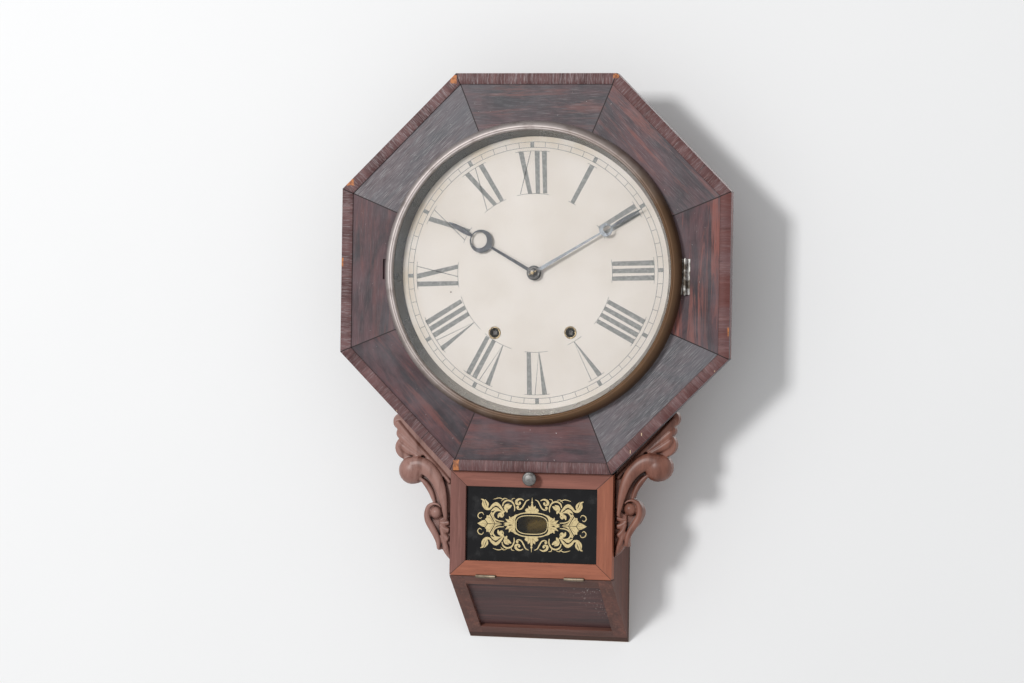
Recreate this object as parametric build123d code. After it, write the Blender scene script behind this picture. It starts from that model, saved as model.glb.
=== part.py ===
from build123d import *

import os
from math import atan2, cos, degrees, hypot, pi, radians, sin, tan

# Octagonal wall clock with a short drop box. X is to the right, Y runs from the
# front back to the wall, Z is up. The origin is on the wall behind the dial's centre.

# Octagon frame
octagon_w = 430.0  # across the flats
frame_t = 13.0
dial_ledge = 11.0  # how far the frame reaches in under the dial
band_w = 12.0  # edge bands along the outer rim
band_edge_t = 1.2
band_crown_t = 2.4

# Case behind the frame
case_depth = 84.0  # case boards, front to back
case_inset = 35.0  # from the frame's rim
case_board_t = 12.0
back_board_t = 7.0

# Drop box
drop_overhang = 0.95  # wider than the octagon's bottom side, on each side
drop_side_t = 10.0
drop_side_lap = 30.0  # how far the sides reach up inside the case
door_way_h = 114.8  # from the octagon down to the slope
slope_fall = 75.2  # from the slope's top down to where it meets the wall
slope_t = 10.0
slope_stile_w = 15.5
slope_top_rail_w = 15.5
slope_bottom_rail_w = 21.0
slope_panel_t = 4.0
slope_panel_sink = 4.0
panel_lap = 4.0  # how far panels and glass reach under their frames
panel_play = 0.3

# Lower door
door_setback = 6.0  # behind the frame's face
door_t = 12.0
door_top_gap = 0.8
door_bottom_gap = 0.6
door_stile_w = 17.0
door_rail_w = 16.2
door_back_gap = 0.4
door_side_gap = 0.6  # between the door and the ears
tablet_t = 2.0
tablet_depth = 5.0  # glass behind the door's face
bead_w = 3.6
bead_t = 4.0
knob_drop = 6.2  # below the door's top edge
knob_r = 7.75
knob_reach = 14.0
knob_neck_r = 4.2
knob_head_t = 5.0
knob_bevel = 2.4
spindle_r = 2.0
spindle_play = 0.06
tongue_reach = 14.0
tongue_w = 6.0
tongue_t = 1.6
tongue_gap = 0.2
stop_block = (80.0, 10.0)  # width and height of the block that the tongue turns behind
stop_block_gap = 0.5

# Hinges
butt_x = 49.0  # each side of the middle
butt_length = 22.0
butt_r = 1.9
butt_leaf_w = 9.0
butt_stand = 1.6  # barrel's axis in front of the door's face
sash_hinge_z = -2.0
sash_hinge_length = 38.0
sash_hinge_r = 2.2
sash_leaf_w = 5.0
leaf_t = 0.9
leaf_gap = 0.3
hinge_pin_share = 0.5  # pin radius as a share of the barrel's
pin_play = 0.05
knuckle_gap = 0.12

# Sash
ring_w = 10.8
ring_height = 17.0
ring_gap = 0.4
ring_skin = 1.2
glass_lap = 1.1
glass_t = 2.0
glass_front = 11.4  # in front of the frame's face
cone_t = 0.9
cone_flare = 6.9  # wider at the glass than at the dial
cone_gap = 0.4  # between the cone's edge and the dial
finger_slot = (6.0, 22.0, 3.0)  # width, height and depth
finger_slot_z = 2.0

# Dial
dial_r = 153.0
dial_margin = 5.6  # of the dial, hidden by the sash
dial_t = 0.8
dial_setback = 7.0
dial_seat_play = 4.0
dial_centre_hole_r = 6.0
key_hole_r = 5.3
time_arbor_at = (40.5, -63.7)
strike_arbor_at = (-43.4, -65.4)

# Hands, with angles clockwise from twelve
hand_t = 0.7
hour_angle = 299.5
hour_length = 110.0
hour_ring_at = 68.0
hour_ring_r = 12.6
hour_ring_hole_r = 8.8
hour_ring_shift = 2.6
hour_boss_r = 8.0
minute_angle = 59.3
minute_length = 138.0
minute_ring_at = 92.0
minute_ring_r = 7.2
minute_ring_hole_r = 4.4
minute_ring_shift = 1.8
minute_boss_r = 7.0
hour_hand_lift = 3.4  # in front of the dial
minute_hand_lift = 6.6
arbor_end_lift = 11.5

# Movement
plate_t = 1.2
plate_half_w = 66.0
plate_top_z = 58.0
plate_bottom_z = -98.0
plate_corner_r = 8.0
plates_apart = 32.8
block_t = 17.8
block_w = 22.0
block_overhang = 8.0  # past the plates, above and below
pillar_r = 3.5
pillar_inset = 8.0
centre_arbor_r = 1.6
pipe_r = 3.3
pipe_bore_r = 2.1
bore_play = 0.06
winding_arbor_r = 3.0
winding_square = 4.6
winding_square_length = 9.0
winding_square_sink = 2.5  # behind the dial's face
great_wheel_r = 24.0
great_wheel_teeth = 30
great_wheel_t = 2.0
great_wheel_gap = 3.0  # in front of the back plate
mainspring_r = 21.0
mainspring_bore_r = 3.8
mainspring_w = 14.0
mainspring_gap = 0.3  # in front of its great wheel
motion_distance = 18.0
motion_stud_r = 1.2
motion_stud_reach = 6.5
motion_pinion_teeth = 8
motion_wheel_teeth = 24
hour_wheel_teeth = 32
wheel_t = 1.4
first_wheel_gap = 0.8  # in front of the front plate
arbor_end_play = 0.1
escape_at_z = 19.0
escape_r = 11.0
escape_teeth = 24
escape_arbor_r = 1.0
verge_at_z = 36.0
verge_t = 1.4
verge_stud_r = 1.0
verge_stud_reach = 3.2
fork_z = 26.0
fork_play = 0.35
suspension_z = 40.0
rod_w = 2.0
rod_t = 1.0
rod_loop_r = 9.0
rod_top = 0.7  # above the point that the pendulum swings about
post_w = 4.0
post_lip = 1.6
post_gap = 0.3
bob_below = 57.0  # the bob's middle, below the octagon
bob_r = 23.0
bob_t = 9.0
bob_bevel = 2.4
nut_r = 3.4
nut_t = 3.0
rod_end_below = 30.0  # below the bob's middle
pendulum_clear = 11.0  # rod in front of the front plate
gong_at = (-4.0, -172.0)
gong_r = 44.0
gong_turns = 2.5
gong_start = -60.0  # where the outer end lies, clockwise from the top
gong_wire = 2.0
gong_block_r = 9.0
gong_stand = 27.0  # in front of the back board
hammer_arbor_at = (-10.0, -90.0)
hammer_head_at = (-36.9, -132.8)
hammer_head_r = 5.0
hammer_arbor_r = 1.3
hammer_bar_w = 1.8

# Hanger
hanger_w = 34.0
hanger_h = 46.0
hanger_t = 2.0
hanger_hole_r = 4.0
hanger_from_top = 30.0
hanger_depth = 1.4  # room behind the plate for its screws' heads
hanger_play = 0.2
hook_room_r = 10.0

# Carved ears
ear_t = 17.0
ear_gap = 0.3  # behind the frame
left_ear_drop = 10.0  # the left ear is fixed lower than the right one
ear_h = 158.5
ear_drawn_h = 158.5  # the height that the ears' points are drawn for
ear_head_at = (46.6, 7.7)  # out from the drop side, and above the octagon's bottom
ear_head_r = 15.2
ear_head_swell = 7.0
ear_eye_at = (18.6, -37.6)
ear_eye_r = 8.8
ear_eye_swell = 4.0
ear_ribbon_t = 3.6

# Planes from the wall forward
case_back_y = -back_board_t
frame_back_y = case_back_y - case_depth
face_y = frame_back_y - frame_t
dial_face_y = face_y + dial_setback
door_face_y = face_y + door_setback
door_back_y = door_face_y + door_t
side_front_y = door_back_y + door_back_gap
back_plate_y = case_back_y - block_t
front_plate_y = back_plate_y - plate_t - plates_apart
plate_face_y = front_plate_y - plate_t
rod_y = plate_face_y - pendulum_clear
first_wheel_y = plate_face_y - first_wheel_gap
gong_y = case_back_y - gong_stand
motion_wheel_at = (0, -motion_distance)

octagon_r = octagon_w / 2
case_r = octagon_r - case_inset
frame_hole_r = dial_r - dial_ledge
dial_seat_r = dial_r + dial_seat_play
dial_show_r = dial_r - dial_margin
glass_r = dial_show_r + cone_flare
ring_inner_r = glass_r - glass_lap
ring_r = ring_inner_r + ring_w
half_drop = octagon_r * tan(pi / 8) + drop_overhang
drop_w = 2 * half_drop
drop_side_top_z = drop_side_lap - case_r
slope_top_z = -octagon_r - door_way_h
drop_bottom_z = slope_top_z - slope_fall
hanger_z = case_r - hanger_from_top
bob_z = -octagon_r - bob_below
rod_end_z = bob_z - rod_end_below
door_top_z = -octagon_r - door_top_gap
door_bottom_z = slope_top_z + door_bottom_gap
knob_at = (0, door_top_z - knob_drop)
butt_z = (door_bottom_z + slope_top_z) / 2
butt_y = door_face_y - butt_stand
sash_hinge_x = ring_r + sash_hinge_r + 0.3
sash_hinge_y = face_y - leaf_gap - ring_gap - sash_hinge_r


def at_depth(y):
    return Plane.XZ.offset(-y)


def plate(shape, back, thickness):
    """A flat shape in X and Z, thickened from the plane y = back towards the front."""
    return extrude(at_depth(back) * shape, amount=thickness, dir=(0, -1, 0))


def disc(radius, back, thickness, at=(0, 0)):
    return plate(Pos(*at) * Circle(radius), back, thickness)


def block(x, y, z):
    """A box between the low and high values given for each axis."""
    size = [high - low for low, high in (x, y, z)]
    middle = [(high + low) / 2 for low, high in (x, y, z)]
    return Pos(*middle) * Box(*size)


def turned(points, at=(0, 0)):
    """A profile of radius and y, turned about an axis along Y."""
    return Pos(at[0], 0, at[1]) * revolve(Polygon(*points, align=None), Axis.Y)


def along_x(points, half_length):
    """A profile of y and z, drawn out to each side along X."""
    return extrude(Plane.YZ * Polygon(*points, align=None), amount=half_length, both=True)


def polar(radius, angle):
    """A point at an angle clockwise from twelve o'clock."""
    return (radius * sin(radians(angle)), radius * cos(radians(angle)))


def sector(reach):
    """The eighth of an octagon that lies under its top side."""
    half = reach * tan(pi / 8)
    return Polygon((0, 0), (half, reach), (-half, reach), align=None)


def eighth_turn(piece, count):
    """Turned clockwise, as seen from the front, by eighths of a turn."""
    return Rot(0, 45 * count, 0) * piece


# Octagon frame and its bands
def frame_board(count):
    board = plate(sector(octagon_r), frame_back_y, frame_t)
    board -= disc(frame_hole_r, frame_back_y + 1, frame_t + 2)
    board -= disc(dial_seat_r, dial_face_y + dial_t, octagon_r)
    return eighth_turn(board, count)


def edge_band():
    inner = octagon_r - band_w
    low = face_y - band_edge_t
    crown = (face_y - band_crown_t, octagon_r - band_w / 2)
    outline = [
        Line((face_y, inner), (low, inner)),
        ThreePointArc((low, inner), crown, (low, octagon_r)),
        Line((low, octagon_r), (face_y, octagon_r)),
        Line((face_y, octagon_r), (face_y, inner)),
    ]
    strip = extrude(Plane.YZ * make_face(outline), amount=octagon_r, both=True)
    return strip & plate(sector(octagon_w), 0, octagon_w)


def right_board_with_mortise(board):
    """The mortise for the sash hinge's fixed leaf."""
    return board - block(
        (sash_hinge_x - 1.2, sash_hinge_x + sash_leaf_w + 0.2),
        (face_y - 1, face_y + leaf_t - ring_gap + 0.1),
        (sash_hinge_z - sash_hinge_length / 2 - 0.2, sash_hinge_z + sash_hinge_length / 2 + 0.2),
    )


def left_board_with_slot(board):
    """The scooped slot where a finger starts the sash."""
    width, height, depth = finger_slot
    middle = (-ring_r - width / 4, face_y, finger_slot_z)
    scoop = Pos(*middle) * Cylinder(height / 2, width, rotation=(0, 90, 0))
    layer = block((-octagon_r, 0), (face_y - 1, face_y + depth), (-height, height))
    return board - (scoop & layer)


# Case
def case_boards():
    board = plate(sector(case_r) - sector(case_r - case_board_t), case_back_y, case_depth)
    gap_for_drop = block((-half_drop, half_drop), (frame_back_y - 1, 1), (-octagon_w, 0))
    return [eighth_turn(board, count) - gap_for_drop for count in (0, 1, 2, 3, 5, 6, 7)]


def slope_z(y, inset=0):
    """Height of the slope's plane, or of one set into the box by inset."""
    slant = slope_angle()
    return slope_top_z - (y - door_face_y) * tan(slant) + inset / cos(slant)


def slope_angle():
    return atan2(slope_top_z - drop_bottom_z, -door_face_y)


def back_board():
    octagon = plate(RegularPolygon(case_r, 8, major_radius=False, rotation=22.5), 0, back_board_t)
    tail = along_x(
        [
            (0, 0),
            (case_back_y, 0),
            (case_back_y, slope_z(case_back_y)),
            (0, drop_bottom_z),
        ],
        half_drop,
    )
    return octagon + tail


def drop_side(side):
    slant_start = door_face_y + slope_t / sin(slope_angle())
    step_z = -octagon_r + 0.4
    outline = [
        (frame_back_y, drop_side_top_z),
        (case_back_y, drop_side_top_z),
        (case_back_y, slope_z(case_back_y, slope_t)),
        (slant_start, slope_top_z),
        (side_front_y, slope_top_z),
        (side_front_y, step_z),
        (frame_back_y, step_z),
    ]
    middle = side * (half_drop - drop_side_t / 2)
    return Pos(middle, 0, 0) * along_x(outline, drop_side_t / 2)


def mitred_members(half_w, top, bottom, side_w, top_w, bottom_w):
    """Top rail, right stile, bottom rail and left stile of a mitred frame."""
    outer = [(-half_w, top), (half_w, top), (half_w, bottom), (-half_w, bottom)]
    in_x = half_w - side_w
    in_top = top - top_w
    in_bottom = bottom + bottom_w
    inner = [(-in_x, in_top), (in_x, in_top), (in_x, in_bottom), (-in_x, in_bottom)]
    corners = range(4)
    return [
        Polygon(outer[i], outer[i - 3], inner[i - 3], inner[i], align=None) for i in corners
    ]


def slope_plane():
    """On the slope's face: X across, Y up the slope, Z out of the box."""
    slant = slope_angle()
    return Plane(
        origin=(0, door_face_y, slope_top_z),
        x_dir=(1, 0, 0),
        z_dir=(0, -sin(slant), -cos(slant)),
    )


def slope_opening(margin):
    length = slope_length()
    width = drop_w - 2 * slope_stile_w + 2 * margin
    height = length - slope_top_rail_w - slope_bottom_rail_w + 2 * margin
    middle = (slope_bottom_rail_w - slope_top_rail_w - length) / 2
    return Pos(0, middle) * Rectangle(width, height)


def slope_length():
    return hypot(door_face_y, slope_top_z - drop_bottom_z)


def slope_frame():
    inner_y = door_face_y + slope_t / sin(slope_angle())
    slab = along_x(
        [
            (door_face_y, slope_top_z),
            (inner_y, slope_top_z),
            (case_back_y, slope_z(case_back_y, slope_t)),
            (case_back_y, slope_z(case_back_y)),
        ],
        half_drop,
    )
    plane = slope_plane()
    into_box = plane.z_dir * -1
    rebate = extrude(
        plane.offset(-slope_panel_sink) * slope_opening(panel_lap), amount=slope_t, dir=into_box
    )
    shapes = mitred_members(
        half_drop, 0, -slope_length(), slope_stile_w, slope_top_rail_w, slope_bottom_rail_w
    )
    members = []
    for shape in shapes:
        bar = extrude(plane * shape, amount=2 * slope_t, dir=into_box)
        members.append((bar & slab) - rebate)
    members[0] = members[0] - butt_clearance() - fixed_butt_seats()
    return members


def slope_panel():
    plane = slope_plane()
    shape = slope_opening(panel_lap - panel_play)
    return extrude(
        plane.offset(-slope_panel_sink) * shape, amount=slope_panel_t, dir=plane.z_dir * -1
    )


def stop_strip():
    """The block behind the frame that the door's tongue turns behind."""
    width, height = stop_block
    front = frame_back_y
    back = door_back_y - stop_block_gap
    return block((-width / 2, width / 2), (front, back), (-octagon_r + 0.4, -octagon_r + height))


# Lower door
def door_members():
    top, bottom = door_top_z, door_bottom_z
    rebate_half_w = half_drop - door_stile_w + panel_lap
    rebate = block(
        (-rebate_half_w, rebate_half_w),
        (door_face_y + tablet_depth, door_back_y + 1),
        (bottom + door_rail_w - panel_lap, top - door_rail_w + panel_lap),
    )
    relief = along_x(
        [(door_back_y + 1, top + 1), (door_back_y + 1, top - 3.5), (door_back_y - 3.5, top + 1)],
        drop_w,
    )
    members = []
    for shape in mitred_members(half_drop, top, bottom, door_stile_w, door_rail_w, door_rail_w):
        bar = plate(shape, door_back_y, door_t)
        members.append(bar - rebate - relief)
    spindle_hole = disc(spindle_r + spindle_play, door_back_y + 1, door_t + 2, knob_at)
    members[0] -= spindle_hole
    members[2] = members[2] - butt_clearance() - moving_butt_seats()
    return members


def tablet_size(play):
    half_w = half_drop - door_stile_w + panel_lap - play
    top = door_top_z - door_rail_w + panel_lap - play
    bottom = door_bottom_z + door_rail_w - panel_lap + play
    return half_w, top, bottom


def tablet_glass():
    half_w, top, bottom = tablet_size(panel_play)
    front = door_face_y + tablet_depth
    return block((-half_w, half_w), (front, front + tablet_t), (bottom, top))


def tablet_beads():
    half_w, top, bottom = tablet_size(0)
    shapes = mitred_members(half_w, top, bottom, bead_w, bead_w, bead_w)
    back = door_face_y + tablet_depth + tablet_t + bead_t
    return [plate(shape, back, bead_t) for shape in shapes]


def door_knob():
    end = door_face_y - knob_reach
    head_back = end + knob_head_t
    knob = turned(
        [
            (0, door_face_y),
            (knob_neck_r, door_face_y),
            (knob_neck_r, head_back),
            (knob_r, head_back),
            (knob_r, end + knob_bevel),
            (knob_r - knob_bevel, end),
            (0, end),
        ],
        knob_at,
    )
    back = door_back_y + tongue_gap + tongue_t
    return knob + disc(spindle_r, back, back - door_face_y, knob_at)


def latch_tongue():
    """The turn catch on the spindle, at rest level, with the door free to open."""
    back = door_back_y + tongue_gap + tongue_t
    x, z = knob_at
    bar = Pos(x + tongue_reach / 2, z) * Rectangle(tongue_reach, tongue_w)
    end = Pos(x, z) * Circle(tongue_w / 2)
    hole = Pos(x, z) * Circle(spindle_r + spindle_play)
    return plate(bar + end - hole, back, tongue_t)


# Hinges
def barrel(length, count, radius, parity):
    """Every other knuckle of a hinge, along Z and centred; the odd ones turn on the pin."""
    pitch = length / count
    tubes = []
    for number in range(parity, count, 2):
        tube = Cylinder(radius, pitch - knuckle_gap)
        if parity:
            tube -= Cylinder(radius * hinge_pin_share + pin_play, pitch)
        tubes.append(Pos(0, 0, pitch * (number + 0.5) - length / 2) * tube)
    return tubes


def butt_places():
    return [Pos(side * butt_x, butt_y, butt_z) for side in (-1, 1)]


def butt_leaf(parity, side):
    """A leaf of the lower door's hinge: side 1 is the door's, above the gap."""
    reach = butt_leaf_w + butt_stand
    pitch = butt_length / 3
    low = 0.15 if side > 0 else -0.15 - leaf_t
    leaf = block((-butt_length / 2, butt_length / 2), (0, reach), (low, low + leaf_t))
    clearance = Cylinder(butt_r + 0.2, butt_length + 1, rotation=(0, 90, 0))
    tubes = [Rot(0, 90, 0) * tube for tube in barrel(butt_length, 3, butt_r, parity)]
    whole = leaf - clearance
    for tube in tubes:
        middle = tube.center().X
        neck = block(
            (middle - pitch / 2 + knuckle_gap, middle + pitch / 2 - knuckle_gap),
            (butt_r * 0.75, butt_r + 0.6),
            (low, low + leaf_t),
        )
        whole = whole + neck + tube
    return whole


def butt_clearance():
    around = Cylinder(butt_r + 0.35, butt_length + 0.8, rotation=(0, 90, 0))
    places = [place * around for place in butt_places()]
    return places[0] + places[1]


def butt_seats(low, high):
    half = butt_length / 2 + 0.2
    seat = block((-half, half), (0, butt_leaf_w + butt_stand + 0.2), (low, high))
    places = [place * seat for place in butt_places()]
    return places[0] + places[1]


def fixed_butt_seats():
    return butt_seats(-0.15 - leaf_t - 0.05, 1)


def moving_butt_seats():
    return butt_seats(-1, 0.15 + leaf_t + 0.05)


def fixed_butt_leaf():
    """The drop box's leaf, with the pin fixed in its knuckles."""
    pin = Cylinder(butt_r * hinge_pin_share, butt_length - 1, rotation=(0, 90, 0))
    return butt_leaf(0, -1) + pin


def sash_fixed_leaf():
    half = sash_hinge_length / 2
    low_y = face_y - ring_gap - sash_hinge_y
    leaf = block((-1.0, sash_leaf_w), (low_y, low_y + leaf_t), (-half, half))
    whole = leaf
    pitch = sash_hinge_length / 5
    for tube in barrel(sash_hinge_length, 5, sash_hinge_r, 0):
        middle = tube.center().Z
        neck = block(
            (-0.9, 0.9),
            (sash_hinge_r * 0.75, low_y + leaf_t / 2),
            (middle - pitch / 2 + knuckle_gap, middle + pitch / 2 - knuckle_gap),
        )
        whole = whole + neck + tube
    whole += Cylinder(sash_hinge_r * hinge_pin_share, sash_hinge_length + 1.6)
    return Pos(sash_hinge_x, sash_hinge_y, sash_hinge_z) * whole


def sash_moving_leaf():
    half = sash_hinge_length / 2
    near = sash_hinge_r + 0.3
    leaf = block((-near - 6.0, -near), (-leaf_t / 2, leaf_t / 2), (-half, half))
    whole = leaf
    pitch = sash_hinge_length / 5
    for tube in barrel(sash_hinge_length, 5, sash_hinge_r, 1):
        middle = tube.center().Z
        neck = block(
            (-near - 1.0, -sash_hinge_r * 0.75),
            (-leaf_t / 2, leaf_t / 2),
            (middle - pitch / 2 + knuckle_gap, middle + pitch / 2 - knuckle_gap),
        )
        whole = whole + neck + tube
    return Pos(sash_hinge_x, sash_hinge_y, sash_hinge_z) * whole


# Sash
def sash_ring():
    foot = face_y - ring_gap
    crown = face_y - ring_height
    seat = face_y - glass_front - 0.1
    ring = turned(
        [
            (ring_r, foot),
            (ring_r - 0.6, crown + 5.0),
            (ring_r - 5.4, crown),
            (ring_inner_r, crown + 2.6),
            (ring_inner_r, seat),
            (ring_r - 3.6, seat),
            (ring_r - ring_skin - 0.4, foot),
        ]
    )
    half = sash_hinge_length / 2 + 0.3
    notch = block(
        (ring_inner_r, octagon_r),
        (sash_hinge_y - leaf_t / 2 - 0.25, face_y),
        (sash_hinge_z - half, sash_hinge_z + half),
    )
    return ring - notch


def sash_glass():
    return disc(glass_r, face_y - glass_front + glass_t, glass_t)


def sash_cone():
    """The conical ring that lies between the glass and the dial."""
    front = face_y - glass_front + glass_t + 0.1
    back = dial_face_y - cone_gap
    return turned(
        [
            (glass_r - cone_t, front),
            (glass_r, front),
            (dial_show_r + cone_t, back),
            (dial_show_r, back),
        ]
    )


def sash_catch():
    """A bent spring clip on the frame, inside the ring."""
    x = -ring_r + 4.0
    base = block((x - 1.6, x + 1.6), (face_y - 0.8, face_y), (-7, 7))
    spring = block((x - 0.5, x + 0.5), (face_y - 6.0, face_y - 0.8), (-5, 5))
    return base + spring


# Dial and hands
def key_hole_places():
    return [time_arbor_at, strike_arbor_at]


def dial_plate():
    sheet = disc(dial_r, dial_face_y + dial_t, dial_t)
    sheet -= disc(dial_centre_hole_r, dial_face_y + 1, 2)
    for place in key_hole_places():
        sheet -= disc(key_hole_r, dial_face_y + 1, 2, place)
    return sheet


def leaf_point(start, end, width, neck):
    """The pointed leaf at a hand's end."""
    belly = start + (end - start) * 0.32
    sides = []
    for side in (-1, 1):
        sides.append(
            ThreePointArc((side * neck / 2, start), (side * width / 2, belly), (0, end))
        )
    base = Line((-neck / 2, start), (neck / 2, start))
    return make_face([base, *sides])


def hand_shape(length, ring_at, ring_r_out, hole_r, shift, boss_r, stem, leaf_w):
    wide, narrow = stem
    bar = Polygon(
        (-wide / 2, 0),
        (wide / 2, 0),
        (narrow / 2, ring_at),
        (-narrow / 2, ring_at),
        align=None,
    )
    shape = Circle(boss_r) + bar + Pos(0, ring_at) * Circle(ring_r_out)
    shape += leaf_point(ring_at + ring_r_out - 0.8, length, leaf_w, narrow)
    return shape - Pos(0, ring_at + shift) * Circle(hole_r)


def hour_hand():
    shape = hand_shape(
        hour_length,
        hour_ring_at,
        hour_ring_r,
        hour_ring_hole_r,
        hour_ring_shift,
        hour_boss_r,
        (3.8, 2.4),
        5.4,
    )
    shape = Rot(0, 0, -hour_angle) * shape - Circle(pipe_r + bore_play)
    return plate(shape, dial_face_y - hour_hand_lift, hand_t)


def minute_hand():
    shape = hand_shape(
        minute_length,
        minute_ring_at,
        minute_ring_r,
        minute_ring_hole_r,
        minute_ring_shift,
        minute_boss_r,
        (3.8, 1.6),
        3.6,
    )
    shape = Rot(0, 0, -minute_angle) * shape - Circle(centre_arbor_r + bore_play)
    return plate(shape, dial_face_y - minute_hand_lift, hand_t)


# Wheels
def toothed(teeth, module, turn=0.0):
    """A wheel's outline with straight-sided teeth and room for its mate."""
    root = module * (teeth / 2 - 1.25)
    tip = module * (teeth / 2 + 0.8)
    pitch = 360 / teeth
    outline = []
    for number in range(teeth):
        middle = number * pitch + turn
        for radius, share in ((root, -0.27), (tip, 0), (root, 0.27)):
            outline.append(polar(radius, middle + share * pitch))
    return Polygon(*outline, align=None)


def pointed_wheel(teeth, radius, depth, lean=0.0):
    """A wheel with pointed teeth, which may lean as an escape wheel's do."""
    pitch = 360 / teeth
    outline = []
    for number in range(teeth):
        outline.append(polar(radius, (number + lean) * pitch))
        outline.append(polar(radius - depth, (number + 0.5) * pitch))
    return Polygon(*outline, align=None)


def motion_module(wheel_teeth):
    return 2 * motion_distance / (motion_pinion_teeth + wheel_teeth)


def centre_arbor():
    """The arbor that carries the minute hand, with the first pinion."""
    back = back_plate_y - plate_t - arbor_end_play
    arbor = disc(centre_arbor_r, back, back - dial_face_y + arbor_end_lift)
    pinion = toothed(motion_pinion_teeth, motion_module(motion_wheel_teeth))
    return arbor + plate(pinion, first_wheel_y, wheel_t)


def motion_wheel():
    """The wheel and pinion that step the minute hand's turns down to the hour hand's."""
    half_tooth = 180 / motion_wheel_teeth
    wheel = toothed(motion_wheel_teeth, motion_module(motion_wheel_teeth), half_tooth)
    pinion = toothed(motion_pinion_teeth, motion_module(hour_wheel_teeth))
    place = Pos(*motion_wheel_at)
    piece = plate(place * wheel, first_wheel_y, wheel_t)
    piece += plate(place * pinion, first_wheel_y - wheel_t, 2.2 * wheel_t)
    return piece - disc(motion_stud_r + bore_play, 0, octagon_w, motion_wheel_at)


def hour_wheel():
    module = motion_module(hour_wheel_teeth)
    wheel = toothed(hour_wheel_teeth, module, 180 / hour_wheel_teeth)
    back = first_wheel_y - 1.8 * wheel_t
    end = dial_face_y - hour_hand_lift - hand_t - 0.4
    piece = plate(wheel, back, wheel_t) + disc(pipe_r, back, back - end)
    return piece - disc(pipe_bore_r, 0, octagon_w)


def escape_wheel():
    at = (0, escape_at_z)
    shape = Pos(*at) * pointed_wheel(escape_teeth, escape_r, 2.2, 0.25)
    wheel = plate(shape, plate_face_y - 1.0, 1.0)
    back = back_plate_y - plate_t - arbor_end_play
    return wheel + disc(escape_arbor_r, back, back - plate_face_y + 2.4, at)


# Movement plates and what they hold
def plate_shape():
    height = plate_top_z - plate_bottom_z
    middle = (plate_top_z + plate_bottom_z) / 2
    return Pos(0, middle) * RectangleRounded(2 * plate_half_w, height, plate_corner_r)


def pillar_places():
    x = plate_half_w - pillar_inset
    return [
        (side * x, z)
        for side in (-1, 1)
        for z in (plate_top_z - pillar_inset, plate_bottom_z + pillar_inset)
    ]


def movement_plate(back, holes):
    sheet = plate(plate_shape(), back, plate_t)
    for at, radius in holes:
        sheet -= disc(radius + bore_play, back + 1, plate_t + 2, at)
    return sheet


def pillars():
    six_sided = RegularPolygon(pillar_r, 6)
    back = back_plate_y - plate_t
    return [plate(Pos(*at) * six_sided, back, plates_apart) for at in pillar_places()]


def movement_blocks():
    x = plate_half_w - block_w / 2
    height = (plate_bottom_z - block_overhang, plate_top_z + block_overhang)
    span = (back_plate_y, case_back_y)
    half = block_w / 2
    return [block((side * x - half, side * x + half), span, height) for side in (-1, 1)]


def winding_arbor(at):
    """Arbor, great wheel and the square that the key turns."""
    back = back_plate_y - plate_t - arbor_end_play
    square_end = dial_face_y + winding_square_sink
    square_start = square_end + winding_square_length
    arbor = disc(winding_arbor_r, back, back - square_start, at)
    square = Pos(*at) * Rectangle(winding_square * 0.92, winding_square * 0.92)
    arbor += plate(square, square_start, square_start - square_end)
    wheel = Pos(*at) * pointed_wheel(great_wheel_teeth, great_wheel_r, 2.4)
    return arbor + plate(wheel, back_plate_y - plate_t - great_wheel_gap, great_wheel_t)


def mainspring(at):
    """The wound spring, as the plain band that it fills."""
    back = back_plate_y - plate_t - great_wheel_gap - great_wheel_t - mainspring_gap
    ring = RegularPolygon(mainspring_r, 24) - RegularPolygon(mainspring_bore_r, 12)
    return plate(Pos(*at) * ring, back, mainspring_w)


def back_plate():
    return movement_plate(back_plate_y, [])


def front_plate():
    """The front plate with its two studs and the post that the pendulum hangs from."""
    bores = [
        ((0, 0), centre_arbor_r),
        (time_arbor_at, winding_arbor_r),
        (strike_arbor_at, winding_arbor_r),
        ((0, escape_at_z), escape_arbor_r),
    ]
    sheet = movement_plate(front_plate_y, bores)
    sheet += disc(motion_stud_r, plate_face_y, motion_stud_reach, motion_wheel_at)
    sheet += disc(verge_stud_r, plate_face_y, verge_stud_reach, (0, verge_at_z))
    post_z = suspension_z + rod_top + post_gap
    return sheet + block(
        (-post_w / 2, post_w / 2), (rod_y - post_lip, plate_face_y), (post_z, post_z + post_w)
    )


def pendulum_rod():
    """A flat rod, with a loop round the hands' arbor."""
    half = rod_w / 2
    thick = (rod_y - rod_t / 2, rod_y + rod_t / 2)
    upper = block((-half, half), thick, (rod_loop_r, suspension_z + rod_top))
    lower = block((-half, half), thick, (rod_end_z, -rod_loop_r))
    loop = Circle(rod_loop_r + half) - Circle(rod_loop_r - half)
    return upper + lower + plate(loop, rod_y + rod_t / 2, rod_t)


def rod_slot(play, low, high):
    half = rod_w / 2 + play
    thick = rod_t / 2 + play
    return block((-half, half), (rod_y - thick, rod_y + thick), (low, high))


def pendulum_bob():
    half = bob_t / 2
    bob = turned(
        [
            (0, rod_y + half),
            (bob_r, rod_y + half),
            (bob_r, rod_y - half + bob_bevel),
            (bob_r - bob_bevel, rod_y - half),
            (0, rod_y - half),
        ],
        (0, bob_z),
    )
    return bob - rod_slot(0.15, bob_z - bob_r - 1, bob_z + bob_r + 1)


def rating_nut():
    top = bob_z - bob_r - 0.3
    nut = Pos(0, rod_y, top - nut_t) * extrude(RegularPolygon(nut_r, 6), amount=nut_t)
    return nut - rod_slot(0.1, top - 2 * nut_t, top + 1)


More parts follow.
